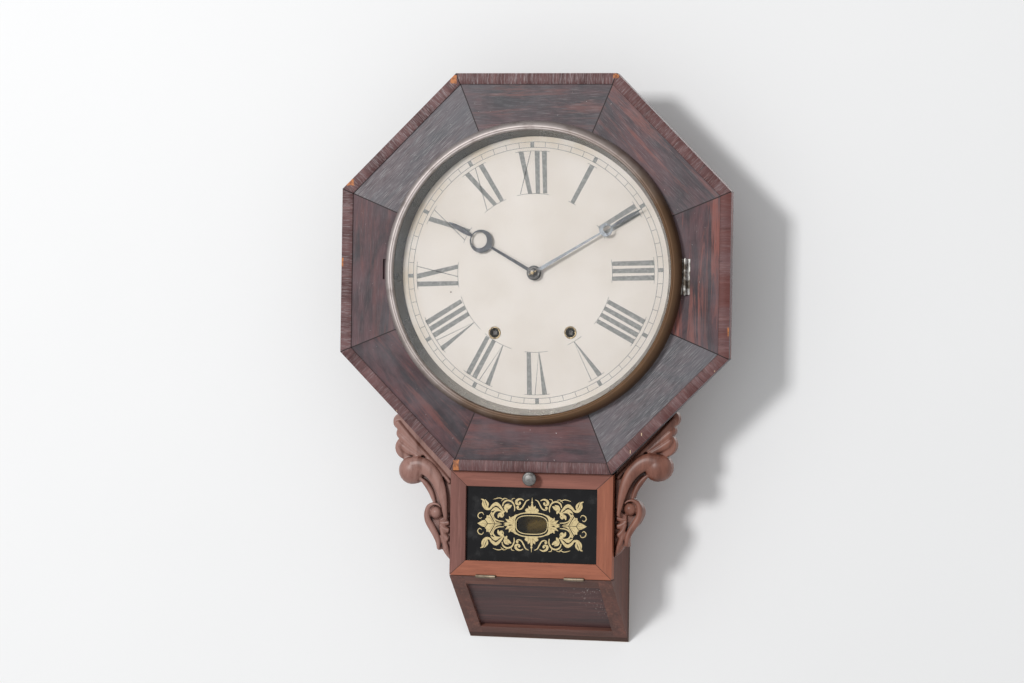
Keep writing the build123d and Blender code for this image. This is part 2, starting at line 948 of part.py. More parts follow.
def verge():
    """The verge over the escape wheel, and the crutch whose fork holds the rod."""
    back = plate_face_y - 1.0
    arc_r = escape_r + 2.4
    span = Pos(0, escape_at_z) * (Circle(arc_r + 2.0) - Circle(arc_r))
    upper = Pos(0, escape_at_z + 9.0 + escape_r) * Rectangle(3 * escape_r, 2 * escape_r)
    stem_low, stem_high = escape_at_z + arc_r, verge_at_z + 1.0
    stem = Pos(0, (stem_low + stem_high) / 2) * Rectangle(2.4, stem_high - stem_low)
    shape = (span & upper) + stem + Pos(0, verge_at_z) * Circle(2.4)
    anchor = plate(shape - Pos(0, verge_at_z) * Circle(verge_stud_r + bore_play), back, verge_t)
    front = rod_y - rod_t / 2 - 1.0
    inner = rod_w / 2 + fork_play
    heights = (fork_z - 1.0, fork_z + 1.0)
    drop = block(
        (-3.4, -1.4),
        (back - verge_t - 1.0, back - verge_t + 0.2),
        (fork_z - 1.0, verge_at_z + 1.0),
    )
    bridge = block(
        (-inner - 1.0, inner + 1.0),
        (rod_y + rod_t / 2 + 1.0, rod_y + rod_t / 2 + 2.6),
        heights,
    )
    prongs = [
        block(
            (side * inner - (side < 0), side * inner + (side > 0)),
            (front, rod_y + rod_t / 2 + 2),
            heights,
        )
        for side in (-1, 1)
    ]
    reach = block(
        (-inner - 1.0, -inner + 0.2),
        (rod_y + rod_t / 2 + 2.4, back - verge_t - 0.8),
        heights,
    )
    return anchor + drop + reach + bridge + prongs[0] + prongs[1]


def strike_hammer():
    """The hammer that falls on the gong's outer turn, on its arbor between the plates."""
    back = back_plate_y - plate_t - arbor_end_play
    arbor = disc(hammer_arbor_r, back, plates_apart - 2 * arbor_end_play, hammer_arbor_at)
    x0, z0 = hammer_arbor_at
    x1, z1 = hammer_head_at
    length = hypot(x1 - x0, z1 - z0)
    turn = degrees(atan2(x1 - x0, z1 - z0))
    bar = Rot(0, 0, -turn) * Rectangle(hammer_bar_w, length)
    bar = plate(Pos((x0 + x1) / 2, (z0 + z1) / 2) * bar, gong_y + 1.0, 1.6)
    return arbor + bar + disc(hammer_head_r, gong_y + 4.0, 8.0, hammer_head_at)


def gong_coil():
    """A flat coil of wire that runs in to its block."""
    steps = int(gong_turns * 24)
    outer, inner = [], []
    for number in range(steps + 1):
        share = number / steps
        radius = gong_r + (gong_block_r - 2 - gong_r) * share
        angle = gong_start + 360 * gong_turns * share
        outer.append(polar(radius + gong_wire / 2, angle))
        inner.append(polar(radius - gong_wire / 2, angle))
    band = Polygon(*outer, *reversed(inner), align=None)
    coil = plate(Pos(*gong_at) * band, gong_y + gong_wire / 2, gong_wire)
    return coil - gong_block()


def gong_block():
    square = Rectangle(2 * gong_block_r, 2 * gong_block_r)
    return plate(Pos(*gong_at) * square, case_back_y, gong_stand + 3.0)


# Hanging on the wall
def hanger_plate():
    """A plate let into the back board, with the hole that hangs on the wall's hook."""
    shape = Rectangle(hanger_w, hanger_h) - Circle(hanger_hole_r)
    return plate(Pos(0, hanger_z) * shape, -hanger_depth, hanger_t)


def back_board_with_hanger():
    recess = Rectangle(hanger_w + 2 * hanger_play, hanger_h + 2 * hanger_play)
    board = back_board() - plate(Pos(0, hanger_z) * recess, 1, hanger_t + hanger_depth + 1)
    return board - disc(hook_room_r, 1, back_board_t + 2, (0, hanger_z))


# Carved ears
def around(centre, radius, angle):
    """A point on a circle, with the angle counter-clockwise from +X."""
    return (centre[0] + radius * cos(radians(angle)), centre[1] + radius * sin(radians(angle)))


def ear_points(*points):
    """Points out from the drop side and above the octagon's bottom, at the ear's height."""
    share = ear_h / ear_drawn_h
    return [(share * out, share * up) for out, up in points]


def ear_outline():
    """The right ear's outline, clockwise from the drop side's top corner."""
    head_start = around(ear_head_at, ear_head_r, 52)
    head_end = around(ear_head_at, ear_head_r, -122)
    tip = ear_points((0, 12), (56, 68), (65.5, 67.8), (68.8, 61.5), (67.8, 56), (63.5, 52.6))
    lobe = ear_points((65.2, 48), (62, 42), (66.2, 33.5))
    neck = ear_points((35, -2.2), (26.4, -12.8), (20.7, -27))
    scroll = ear_points((30.8, -36), (30.2, -47), (26.2, -54), (19, -60.5))
    tail = ear_points((15.9, -69), (16.2, -78.8), (11, -77.6), (6.4, -84.6), (0, -90.5))
    curve = [
        Line(tip[0], tip[1]),
        ThreePointArc(tip[1], tip[2], tip[3]),
        ThreePointArc(tip[3], tip[4], tip[5]),
        ThreePointArc(tip[5], lobe[0], lobe[1]),
        ThreePointArc(lobe[1], lobe[2], head_start),
        ThreePointArc(head_start, around(ear_head_at, ear_head_r, -35), head_end),
        Line(head_end, neck[0]),
        ThreePointArc(neck[0], neck[1], neck[2]),
        ThreePointArc(neck[2], scroll[0], scroll[1]),
        ThreePointArc(scroll[1], scroll[2], scroll[3]),
        ThreePointArc(scroll[3], tail[0], tail[1]),
        Line(tail[1], tail[2]),
        ThreePointArc(tail[2], tail[3], tail[4]),
        Line(tail[4], tip[0]),
    ]
    return make_face(curve)


def ear_ribbon():
    """The broad ribbon that sweeps from the head down to the drop side."""
    outer = ear_points((44, 22), (19, 6), (1.5, -25))
    inner = ear_points((5.5, -47), (12.5, -16), (34, 3))
    curve = [
        ThreePointArc(*outer),
        Line(outer[2], inner[0]),
        ThreePointArc(*inner),
        Line(inner[2], outer[0]),
    ]
    return make_face(curve)


def swell(centre, radius, front, height):
    """A bevelled boss, standing in front of the plane y = front."""
    return turned(
        [
            (0, front + 1),
            (radius, front + 1),
            (radius, front - height * 0.4),
            (radius * 0.7, front - height),
            (0, front - height),
        ],
        centre,
    )


def right_ear():
    front = frame_back_y + ear_gap
    body = plate(ear_outline(), front + ear_t, ear_t)
    body += swell(ear_head_at, ear_head_r, front, ear_head_swell)
    body += plate(ear_ribbon(), front + 1, ear_ribbon_t + 1)
    body += swell(ear_eye_at, ear_eye_r, front, ear_eye_swell)
    door_way = block(
        (-1, door_side_gap),
        (frame_back_y - ear_t, side_front_y + door_back_gap),
        (-ear_h, door_side_gap + left_ear_drop),
    )
    return Pos(half_drop, 0, -octagon_r) * (body - door_way)


def left_ear():
    return Pos(0, 0, -left_ear_drop) * mirror(right_ear(), about=Plane.YZ)


def all_nodes():
    frame_names = (
        "frame_top",
        "frame_upper_right",
        "frame_right",
        "frame_lower_right",
        "frame_bottom",
        "frame_lower_left",
        "frame_left",
        "frame_upper_left",
    )
    nodes = {name: frame_board(count) for count, name in enumerate(frame_names)}
    nodes["frame_right"] = right_board_with_mortise(nodes["frame_right"])
    nodes["frame_left"] = left_board_with_slot(nodes["frame_left"])
    band = edge_band()
    nodes["edge_bands"] = [eighth_turn(band, count) for count in range(8)]

    nodes["case_boards"] = case_boards()
    nodes["back_board"] = back_board_with_hanger()
    nodes["hanger_plate"] = hanger_plate()
    nodes["drop_side_left"] = drop_side(-1)
    nodes["drop_side_right"] = drop_side(1)
    nodes["slope_frame"] = slope_frame()
    nodes["slope_panel"] = slope_panel()
    nodes["stop_strip"] = stop_strip()
    nodes["ear_left"] = left_ear()
    nodes["ear_right"] = right_ear()

    top, right, bottom, left = door_members()
    nodes["door_rails"] = [top, bottom]
    nodes["door_stiles"] = [left, right]
    nodes["tablet_glass"] = tablet_glass()
    nodes["tablet_beads"] = tablet_beads()
    nodes["door_hinge_leaves"] = [place * butt_leaf(1, 1) for place in butt_places()]
    nodes["drop_hinge_leaves"] = [place * fixed_butt_leaf() for place in butt_places()]
    nodes["door_knob"] = door_knob()
    nodes["latch_tongue"] = latch_tongue()

    nodes["sash_ring"] = sash_ring()
    nodes["sash_glass"] = sash_glass()
    nodes["sash_cone"] = sash_cone()
    nodes["sash_hinge_leaf"] = sash_moving_leaf()
    nodes["frame_hinge_leaf"] = sash_fixed_leaf()
    nodes["sash_catch"] = sash_catch()

    nodes["dial_plate"] = dial_plate()
    nodes["hour_hand"] = hour_hand()
    nodes["minute_hand"] = minute_hand()

    nodes["movement_blocks"] = movement_blocks()
    nodes["back_plate"] = back_plate()
    nodes["front_plate"] = front_plate()
    nodes["plate_pillars"] = pillars()
    nodes["centre_arbor"] = centre_arbor()
    nodes["motion_wheel"] = motion_wheel()
    nodes["hour_wheel"] = hour_wheel()
    nodes["time_winding_arbor"] = winding_arbor(time_arbor_at)
    nodes["strike_winding_arbor"] = winding_arbor(strike_arbor_at)
    nodes["mainsprings"] = [mainspring(place) for place in key_hole_places()]
    nodes["escape_wheel"] = escape_wheel()
    nodes["verge"] = verge()
    nodes["pendulum_rod"] = pendulum_rod()
    nodes["pendulum_bob"] = pendulum_bob()
    nodes["rating_nut"] = rating_nut()
    nodes["strike_hammer"] = strike_hammer()
    nodes["gong_coil"] = gong_coil()
    nodes["gong_block"] = gong_block()
    return nodes


def main():
    os.makedirs("parts", exist_ok=True)
    for name, shape in all_nodes().items():
        if isinstance(shape, list):
            shape = Compound(children=[solid for piece in shape for solid in piece.solids()])
        export_step(shape, f"parts/{name}.step")


main()
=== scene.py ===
from math import atan2, copysign, cos, degrees, hypot, pi, radians, sin, tan

import bmesh
import bpy
from mathutils import Matrix, Vector


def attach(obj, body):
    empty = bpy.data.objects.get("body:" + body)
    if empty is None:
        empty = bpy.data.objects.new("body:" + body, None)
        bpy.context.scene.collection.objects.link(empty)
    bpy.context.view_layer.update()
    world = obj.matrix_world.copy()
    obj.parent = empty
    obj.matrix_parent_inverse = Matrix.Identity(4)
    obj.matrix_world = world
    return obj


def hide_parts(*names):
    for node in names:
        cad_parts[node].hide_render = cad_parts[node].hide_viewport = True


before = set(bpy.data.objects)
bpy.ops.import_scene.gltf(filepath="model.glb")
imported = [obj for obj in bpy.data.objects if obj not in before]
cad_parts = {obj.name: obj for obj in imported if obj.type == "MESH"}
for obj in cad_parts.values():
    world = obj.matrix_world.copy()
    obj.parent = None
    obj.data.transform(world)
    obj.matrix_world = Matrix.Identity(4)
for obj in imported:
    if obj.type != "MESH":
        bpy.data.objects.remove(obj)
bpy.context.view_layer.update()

MM = 0.001

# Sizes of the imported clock, in millimetres
OCTAGON_R = 215.0
BAND_INNER_R = 203.0
FACE_Y = -104.0
DIAL_Y = -97.0
DOOR_Y = -98.0
DOOR_HALF_W = 90.0
DOOR_OPENING_HALF = (73.0, 41.15)
DOOR_MIDDLE_Z = -272.15
DOOR_MITRE_SLOPE = 1.09
SLOPE_STILE_X = 74.5
RING_R = 164.0
KEY_HOLES = ((40.5, -63.7), (-43.4, -65.4))
KEY_HOLE_R = 5.3
TABLET_FRONT_Y = -93.0
TABLET_MIDDLE = (0.0, -272.6)
WINDOW_HALF = (16.6, 9.2)
KNOB_AT = (0.0, -222.0)
KNOB_FRONT_Y = -112.0
BOB_AT = (0.0, -272.0)
BOB_Y = -71.0
BOB_HALF_T = 4.6
GONG_AT = (-4.0, -172.0)
GONG_Y = -34.0
LEFT_EAR_DROP = 10.0
EAR_FRONT_Y = -90.7
EAR_SLAB_Y = -87.4
EAR_BACK_Y = -73.7
EAR_HEAD_AT = (46.6, 7.7)
EAR_HEAD_R = 15.2
EAR_EYE_AT = (17.9, -37.2)
EAR_EYE_R = 8.2

# Dial print
PRINT_TURN = 2.0
PRINT_DEPTH = 0.02
NUMERAL_IN_R = 85.5
NUMERAL_OUT_R = 131.5
THICK = 5.5
THIN = 0.9
TRACK_IN_R = 135.5
TRACK_OUT_R = 141.5
NUMERALS = ("XII", "I", "II", "III", "IIII", "V", "VI", "VII", "VIII", "IX", "X", "XI")

# How grey or red each side is, from the bottom round by the left, top and right; the grey is a
# painted sheen
BOARD_SHEEN_GREY = (0.12, 0.06, 0.22, 1.0, 0.42, 0.35, 0.12, 0.95, 0.12)
BOARD_RED = (0.26, 0.42, 0.38, 0.25, 0.48, 0.72, 0.90, 0.15, 0.26)
BAND_SHEEN_GREY = (0.45, 0.55, 0.75, 0.90, 1.0, 0.65, 0.25, 0.40, 0.45)
BAND_RED = (0.30, 0.25, 0.25, 0.20, 0.20, 0.45, 1.0, 0.55, 0.30)

# Chips, each with its x, z and half its width and height
BAND_NICKS = (
    (122, -171, 0.4, 1.5),
    (110, -190, 0.4, 1.6),
    (200, -102, 0.3, 0.8),
    (-150, -152, 0.3, 0.9),
)
BAND_CHIPS = (
    (-91.5, 208.5, 3.2, 4.2),
    (-207, 96.5, 5.0, 3.8),
    (-82.5, -209.6, 3.1, 6.0),
    (88, 212, 3.0, 2.4),
    (-214, 9, 1.2, 4.6),
    (214, -60, 0.9, 4.6),
)
DIAL_SPECKS = ((-93, -22, 0.8, 0.7),)

# Tones
BARE_WOOD = (0.50, 0.19, 0.075)
STAINED_BARE_WOOD = (0.26, 0.10, 0.05)
PALE_WOOD = (0.66, 0.50, 0.32)
MITRE_DARK = (0.012, 0.006, 0.006)
MAHOGANY = ((0.270, 0.088, 0.050), (0.360, 0.122, 0.070), (0.440, 0.165, 0.095))
MAHOGANY_DARK = ((0.085, 0.034, 0.025), (0.140, 0.054, 0.040), (0.200, 0.080, 0.056))
SLOPE_DARK = ((0.042, 0.018, 0.018), (0.082, 0.033, 0.032), (0.125, 0.050, 0.045))
CASE_TONES = ((0.045, 0.020, 0.012), (0.085, 0.038, 0.021), (0.13, 0.062, 0.034))
PINE_TONES = ((0.19, 0.10, 0.045), (0.30, 0.165, 0.075), (0.40, 0.235, 0.115))


class Nodes:
    """A node tree, and the steps that all the trees here share."""

    def __init__(self, tree):
        self.tree = tree

    def put(self, socket, value):
        if isinstance(value, bpy.types.NodeSocket):
            self.tree.links.new(value, socket)
        elif isinstance(value, tuple) and len(value) == 3 and len(socket.default_value) == 4:
            socket.default_value = (*value, 1)
        else:
            socket.default_value = value

    def add(self, kind, settings=(), **inputs):
        node = self.tree.nodes.new(kind)
        for key, value in dict(settings).items():
            setattr(node, key, value)
        for key, value in inputs.items():
            self.put(node.inputs[key.replace("_", " ")], value)
        return node

    def sum(self, kind, first, second=0.0):
        node = self.add("ShaderNodeMath", {"operation": kind})
        self.put(node.inputs[0], first)
        self.put(node.inputs[1], second)
        return node.outputs[0]

    def plus(self, first, second):
        return self.sum("ADD", first, second)

    def minus(self, first, second):
        return self.sum("SUBTRACT", first, second)

    def times(self, first, second):
        return self.sum("MULTIPLY", first, second)

    def together(self, x, y, z):
        return self.add("ShaderNodeCombineXYZ", X=x, Y=y, Z=z).outputs[0]

    def mixed(self, share, first, second):
        """A shader between two others."""
        node = self.add("ShaderNodeMixShader")
        for socket, value in zip(node.inputs, (share, first, second)):
            self.put(socket, value)
        return node.outputs[0]


class Finish(Nodes):
    """A material whose colour is a ground with layers over it, in the object's own space."""

    def __init__(self, name, **sockets):
        self.material = bpy.data.materials.new(name)
        self.material.use_nodes = True
        super().__init__(self.material.node_tree)
        self.shader = self.tree.nodes["Principled BSDF"]
        for key, value in sockets.items():
            self.put(self.shader.inputs[key.replace("_", " ")], value)
        self.here = self.add("ShaderNodeTexCoord").outputs["Object"]
        self.x, self.y, self.z = self.add("ShaderNodeSeparateXYZ", Vector=self.here).outputs
        self.colour = None

    def reach(self):
        """How far a point is from the dial's axis."""
        flat = self.together(self.x, 0.0, self.z)
        return self.add("ShaderNodeVectorMath", {"operation": "LENGTH"}, Vector=flat).outputs[1]

    def noise(self, scale, vector=None, detail=4.0, roughness=0.55, distortion=0.0):
        """Noise of one scale, or of one scale for each part of the vector."""
        vector = vector or self.here
        if isinstance(scale, tuple):
            stretch = self.add("ShaderNodeVectorMath", {"operation": "MULTIPLY"}, Vector=vector)
            stretch.inputs[1].default_value = scale
            vector, scale = stretch.outputs[0], 1.0
        return self.add(
            "ShaderNodeTexNoise",
            Vector=vector,
            Scale=scale,
            Detail=detail,
            Roughness=roughness,
            Distortion=distortion,
        ).outputs[0]

    def between(self, value, low, high):
        """0 below low, 1 above high and smooth in between."""
        node = self.add("ShaderNodeMapRange", {"interpolation_type": "SMOOTHSTEP"}, Value=value)
        node.inputs[1].default_value = low
        node.inputs[2].default_value = high
        return node.outputs[0]

    def blend(self, share, first, second, kind="MIX"):
        node = self.add("ShaderNodeMix", {"data_type": "RGBA", "blend_type": kind})
        self.put(node.inputs[0], share)
        self.put(node.inputs[6], first)
        self.put(node.inputs[7], second)
        return node.outputs[2]

    def ground(self, first, second, value, low, high):
        self.colour = self.blend(self.between(value, low, high), first, second)

    def layer(self, tint, value, low, high, share=1.0):
        """A tint over the colour so far, where the value has passed from low to high."""
        amount = self.times(self.between(value, low, high), share)
        self.colour = self.blend(amount, self.colour, tint)

    def bump(self, height, strength, distance):
        node = self.add("ShaderNodeBump", Strength=strength, Distance=distance, Height=height)
        self.put(self.shader.inputs["Normal"], node.outputs[0])

    def rough(self, value, low, high):
        node = self.add("ShaderNodeMapRange", Value=value)
        node.inputs[3].default_value = low
        node.inputs[4].default_value = high
        self.put(self.shader.inputs["Roughness"], node.outputs[0])

    def done(self, surface=None):
        """The material, with its colour in the shader or another shader in its place."""
        if self.colour:
            self.put(self.shader.inputs["Base Color"], self.colour)
        if surface:
            self.put(self.tree.nodes["Material Output"].inputs[0], surface)
        return self.material


# Wood
def octagon_places(finish):
    """Along, out from the middle and the number of whichever of the eight sides a point is on."""
    angle = finish.sum("ARCTAN2", finish.x, finish.z)
    count = finish.sum("ROUND", finish.sum("DIVIDE", angle, pi / 4))
    turn = finish.minus(angle, finish.times(count, pi / 4))
    reach = finish.reach()
    along = finish.times(reach, finish.sum("SINE", turn))
    out = finish.times(reach, finish.sum("COSINE", turn))
    return along, out, count


def per_board(finish, count, values):
    """A value for each of the eight sides, from the bottom round by the left, top and right."""
    ramp = finish.add("ShaderNodeValToRGB")
    ramp.color_ramp.interpolation = "CONSTANT"
    stops = ramp.color_ramp.elements
    stops.remove(stops[1])
    stops[0].color = (values[0], values[0], values[0], 1)
    for number, value in enumerate(values[1:], 1):
        stops.new((number - 0.5) / 8).color = (value, value, value, 1)
    finish.put(ramp.inputs[0], finish.sum("DIVIDE", finish.plus(count, 4.0), 8.0))
    return ramp.outputs[0]


def board_shift(finish, count):
    """How far to move the grain, so that each of the eight sides is its own piece of wood."""
    angle = finish.times(count, pi / 4)
    over = finish.times(finish.sum("COSINE", angle), 3.1)
    return finish.plus(over, finish.times(finish.sum("SINE", angle), 1.7))


def mitre_lines(finish, along, out, width):
    """The thin dark joints between the boards."""
    gap = finish.minus(finish.times(out, tan(pi / 8)), finish.sum("ABSOLUTE", along))
    finish.layer(MITRE_DARK, gap, width, 0.0003)


def bare_spots(finish, spots, bare):
    """Small ragged chips where the surface is gone."""
    ragged = finish.times(finish.noise(260, detail=3), 0.9)
    for at_x, at_z, wide, tall in spots:
        far_x = finish.sum("DIVIDE", finish.minus(finish.x, at_x * MM), wide * MM)
        far_z = finish.sum("DIVIDE", finish.minus(finish.z, at_z * MM), tall * MM)
        far_x, far_z = finish.sum("ABSOLUTE", far_x), finish.sum("ABSOLUTE", far_z)
        far = finish.plus(finish.sum("MAXIMUM", far_x, far_z), ragged)
        finish.layer(bare, far, 1.55, 1.38)


def veneer_finish():
    finish = Finish("rosewood_veneer", Specular_IOR_Level=0.22)
    along, out, count = octagon_places(finish)
    vector = finish.together(along, finish.y, finish.plus(out, board_shift(finish, count)))
    cloud = finish.noise((12, 30, 30), vector, detail=6, roughness=0.62, distortion=1.2)
    veins = finish.noise((6, 85, 85), vector, detail=8, roughness=0.72, distortion=0.7)
    fine = finish.noise((55, 1500, 1500), vector, detail=4, roughness=0.7)
    bloom_and_sheen = finish.noise(18, detail=6)
    scratches = finish.noise((70, 1100, 1700), vector, detail=2)
    # Painted sheen over worn polish: the sides given grey in the table above turn a neutral grey,
    # with pale and dark fine grain in it
    worn = per_board(finish, count, BOARD_SHEEN_GREY)
    finish.ground((0.020, 0.012, 0.016), (0.120, 0.055, 0.060), cloud, 0.32, 0.68)
    finish.layer((0.265, 0.082, 0.062), veins, 0.49, 0.62, per_board(finish, count, BOARD_RED))
    finish.layer((0.018, 0.012, 0.015), veins, 0.45, 0.30, 0.8)
    finish.colour = finish.blend(finish.times(worn, 0.62), finish.colour, (0.165, 0.170, 0.184))
    finish.layer((0.46, 0.45, 0.45), fine, 0.50, 0.68, finish.times(worn, 0.62))
    finish.layer((0.035, 0.027, 0.030), fine, 0.46, 0.36, finish.times(worn, 0.65))
    # Greyish patches of dull, worn polish with a painted sheen
    finish.layer((0.150, 0.140, 0.155), bloom_and_sheen, 0.42, 0.72, 0.42)
    finish.layer((0.30, 0.24, 0.22), scratches, 0.73, 0.82)
    finish.layer((0.62, 0.58, 0.55), finish.noise(480, detail=1), 0.775, 0.79)
    mitre_lines(finish, along, out, 0.0009)
    finish.bump(finish.plus(fine, finish.times(veins, 0.8)), 0.3, 0.0003)
    finish.rough(finish.plus(cloud, finish.times(fine, 0.3)), 0.32, 0.60)
    return finish.done()


def band_finish():
    finish = Finish("crossbanding", Specular_IOR_Level=0.22)
    along, out, count = octagon_places(finish)
    shifted = finish.plus(along, board_shift(finish, count))
    vector = finish.together(out, finish.y, shifted)
    length = finish.together(0.0, 0.0, shifted)
    broad = finish.noise(30, length, detail=3)
    streak = finish.noise((26, 26, 260), vector, detail=6, roughness=0.7)
    fine = finish.noise((90, 90, 1500), vector, detail=3, roughness=0.7)
    # Painted sheen: the bands facing the key light at the upper left are greyer, with pale fine
    # streaks
    grey = finish.times(per_board(finish, count, BAND_SHEEN_GREY), 0.8)
    red = finish.times(per_board(finish, count, BAND_RED), 0.6)
    finish.ground((0.065, 0.034, 0.036), (0.150, 0.075, 0.075), broad, 0.36, 0.64)
    finish.layer((0.225, 0.128, 0.124), streak, 0.52, 0.72)
    finish.layer((0.026, 0.012, 0.013), streak, 0.44, 0.30)
    finish.layer((0.37, 0.325, 0.33), fine, 0.48, 0.70, grey)
    finish.layer((0.165, 0.050, 0.040), broad, 0.62, 0.42, red)
    finish.layer((0.42, 0.26, 0.16), finish.noise(520, length, detail=1), 0.78, 0.82)
    mitre_lines(finish, along, out, 0.0008)
    line = finish.sum("ABSOLUTE", finish.minus(out, BAND_INNER_R * MM))
    finish.layer((0.020, 0.010, 0.010), line, 0.0008, 0.0002, 0.6)
    stain = finish.between(finish.noise(420, detail=4), 0.40, 0.62)
    bare_spots(finish, BAND_CHIPS, finish.blend(stain, BARE_WOOD, STAINED_BARE_WOOD))
    bare_spots(finish, BAND_NICKS, PALE_WOOD)
    finish.bump(finish.plus(fine, streak), 0.35, 0.0003)
    finish.rough(streak, 0.42, 0.66)
    return finish.done()


def grained(finish, axis, tones):
    """Gives the finish wood with its grain along an axis, and returns its colour."""
    x, y, z = finish.x, finish.y, finish.z
    vector = finish.together(*{"X": (x, y, z), "Y": (y, x, z), "Z": (z, y, x)}[axis])
    dark, middle, streak = tones
    broad = finish.noise((5, 60, 60), vector, detail=3, distortion=0.6)
    bands = finish.noise((9, 190, 190), vector, detail=5)
    fine = finish.noise((16, 420, 420), vector, detail=6, roughness=0.65)
    pores = finish.noise((70, 2600, 2600), vector, detail=3)
    pits = finish.between(pores, 0.42, 0.30)
    finish.ground(dark, middle, broad, 0.36, 0.62)
    finish.layer(streak, bands, 0.5, 0.66, 0.7)
    finish.layer(dark, fine, 0.56, 0.36, 0.7)
    finish.layer(tuple(0.4 * part for part in dark), pores, 0.42, 0.30, 0.45)
    finish.bump(finish.minus(finish.times(fine, 0.5), pits), 0.22, 0.0002)
    finish.rough(finish.plus(fine, finish.times(broad, 0.5)), 0.30, 0.62)
    return finish.colour


def board_finish(name, tones, axis):
    finish = Finish(name, Specular_IOR_Level=0.25)
    grained(finish, axis, tones)
    return finish.done()


def door_finish(name, axis, across_door, low, high, tint):
    """The lower door's mahogany, with its mitres, and tinted from low to high across the door."""
    finish = Finish(name, Specular_IOR_Level=0.25)
    grained(finish, axis, MAHOGANY)
    half_w, half_h = DOOR_OPENING_HALF
    side = finish.minus(finish.sum("ABSOLUTE", finish.x), half_w * MM)
    middle = finish.minus(finish.z, DOOR_MIDDLE_Z * MM)
    rise = finish.minus(finish.sum("ABSOLUTE", middle), half_h * MM)
    far = finish.sum("ABSOLUTE", finish.minus(side, finish.times(rise, DOOR_MITRE_SLOPE)))
    finish.layer((0.030, 0.012, 0.008), far, 0.0006, 0.0002)
    share = finish.between({"X": finish.x, "Z": finish.z}[across_door], low, high)
    tinted = finish.blend(1.0, finish.colour, tint, "MULTIPLY")
    finish.colour = finish.blend(share, finish.colour, tinted)
    return finish.done()


def slope_finish():
    """The sloping frame: upright grain in its stiles and level grain in its rails."""
    finish = Finish("slope_mahogany", Specular_IOR_Level=0.3)
    level = grained(finish, "X", MAHOGANY_DARK)
    upright = grained(finish, "Z", MAHOGANY_DARK)
    side = finish.minus(finish.sum("ABSOLUTE", finish.x), SLOPE_STILE_X * MM)
    finish.colour = finish.blend(finish.between(side, -0.0003, 0.0003), level, upright)
    return finish.done()


def panel_finish():
    """The sunk panel, with specks of old paint at its upper right."""
    finish = Finish("slope_panel_veneer", Specular_IOR_Level=0.4)
    grained(finish, "X", SLOPE_DARK)
    slant = finish.plus(finish.x, finish.times(finish.z, 1.4))
    where = finish.between(slant, -0.47, -0.40)
    finish.layer((0.62, 0.55, 0.50), finish.noise(520, detail=1), 0.675, 0.695, where)
    return finish.done()


def back_finish():
    """Bare pine at the back, and stained at the edges that show from the front."""
    finish = Finish("back_pine", Specular_IOR_Level=0.2)
    grained(finish, "Z", PINE_TONES)
    finish.layer((0.060, 0.026, 0.018), finish.y, -0.0002, -0.0006)
    return finish.done()


def carved_finish():
    """Walnut, darker in its hollows with painted shade and dusty there, and paler on the left ear
    with a painted sheen.
    """
    finish = Finish("carved_walnut", Specular_IOR_Level=0.4, Roughness=0.40)
    vector = finish.together(finish.z, finish.y, finish.x)
    cloud = finish.noise((14, 40, 60), vector, detail=6, roughness=0.65)
    # Painted sheen: the left ear, nearer the key light, is paler
    left = finish.times(finish.between(finish.x, 0.02, -0.02), 0.60)
    hollow = finish.add("ShaderNodeAmbientOcclusion", {"samples": 8}, Distance=0.006)
    hollow = hollow.outputs["AO"]
    low_down = finish.between(hollow, 0.8, 0.5)
    finish.ground((0.120, 0.042, 0.027), (0.250, 0.104, 0.072), cloud, 0.34, 0.66)
    finish.layer((0.37, 0.215, 0.185), cloud, 0.30, 0.60, left)
    # Painted shade: the hollows turn dark
    finish.layer((0.026, 0.008, 0.006), hollow, 0.84, 0.34)
    finish.layer((0.45, 0.38, 0.33), finish.noise(700, detail=2), 0.66, 0.72, low_down)
    finish.bump(cloud, 0.12, 0.0004)
    return finish.done()


# Metal
def metal_finish(name, clean, tarnish, low=0.22, high=0.5, share=(0.4, 0.7), spread=90.0):
    """Metal that goes from clean to tarnished, with fine dark specks."""
    finish = Finish(name, Metallic=1.0)
    cloud = finish.noise(spread, detail=6, roughness=0.62)
    specks = finish.noise(spread * 14, detail=2)
    finish.ground(clean, tarnish, cloud, *share)
    finish.layer(tuple(0.5 * part for part in tarnish), specks, 0.66, 0.74)
    finish.rough(cloud, low, high)
    finish.bump(specks, 0.08, 0.0001)
    return finish.done()


def minute_finish():
    """The minute hand's steel: bright along its stem with a painted highlight, and dark at its boss
    and its point.
    """
    finish = Finish("hand_steel_painted_glare", Metallic=1.0)
    reach = finish.reach()
    cloud = finish.noise(120, detail=5)
    # Painted highlight: pale steel over the stem, where the light glints
    finish.ground((0.15, 0.16, 0.172), (0.09, 0.095, 0.105), cloud, 0.46, 0.66)
    finish.layer((0.062, 0.060, 0.058), reach, 0.0092, 0.0080)
    finish.layer((0.060, 0.063, 0.068), reach, 0.098, 0.106)
    finish.rough(cloud, 0.3, 0.48)
    return finish.done()


def ring_finish():
    """Dull bronze, pale at the upper left with a painted reflection, and brown lower down."""
    finish = Finish("sash_bronze", Metallic=1.0)
    cloud = finish.noise(22, detail=6, roughness=0.65)
    grime = finish.noise(60, detail=6, roughness=0.65)
    # Painted reflection: pale towards the upper left, brown bronze towards the lower right
    slant = finish.minus(finish.times(finish.z, 0.8), finish.times(finish.x, 1.1))
    slant = finish.plus(slant, finish.times(finish.minus(cloud, 0.5), 0.22))
    finish.ground((0.125, 0.074, 0.044), (0.450, 0.405, 0.390), slant, -0.13, 0.16)
    finish.layer((0.090, 0.062, 0.045), grime, 0.48, 0.78, 0.55)
    finish.rough(cloud, 0.50, 0.62)
    return finish.done()


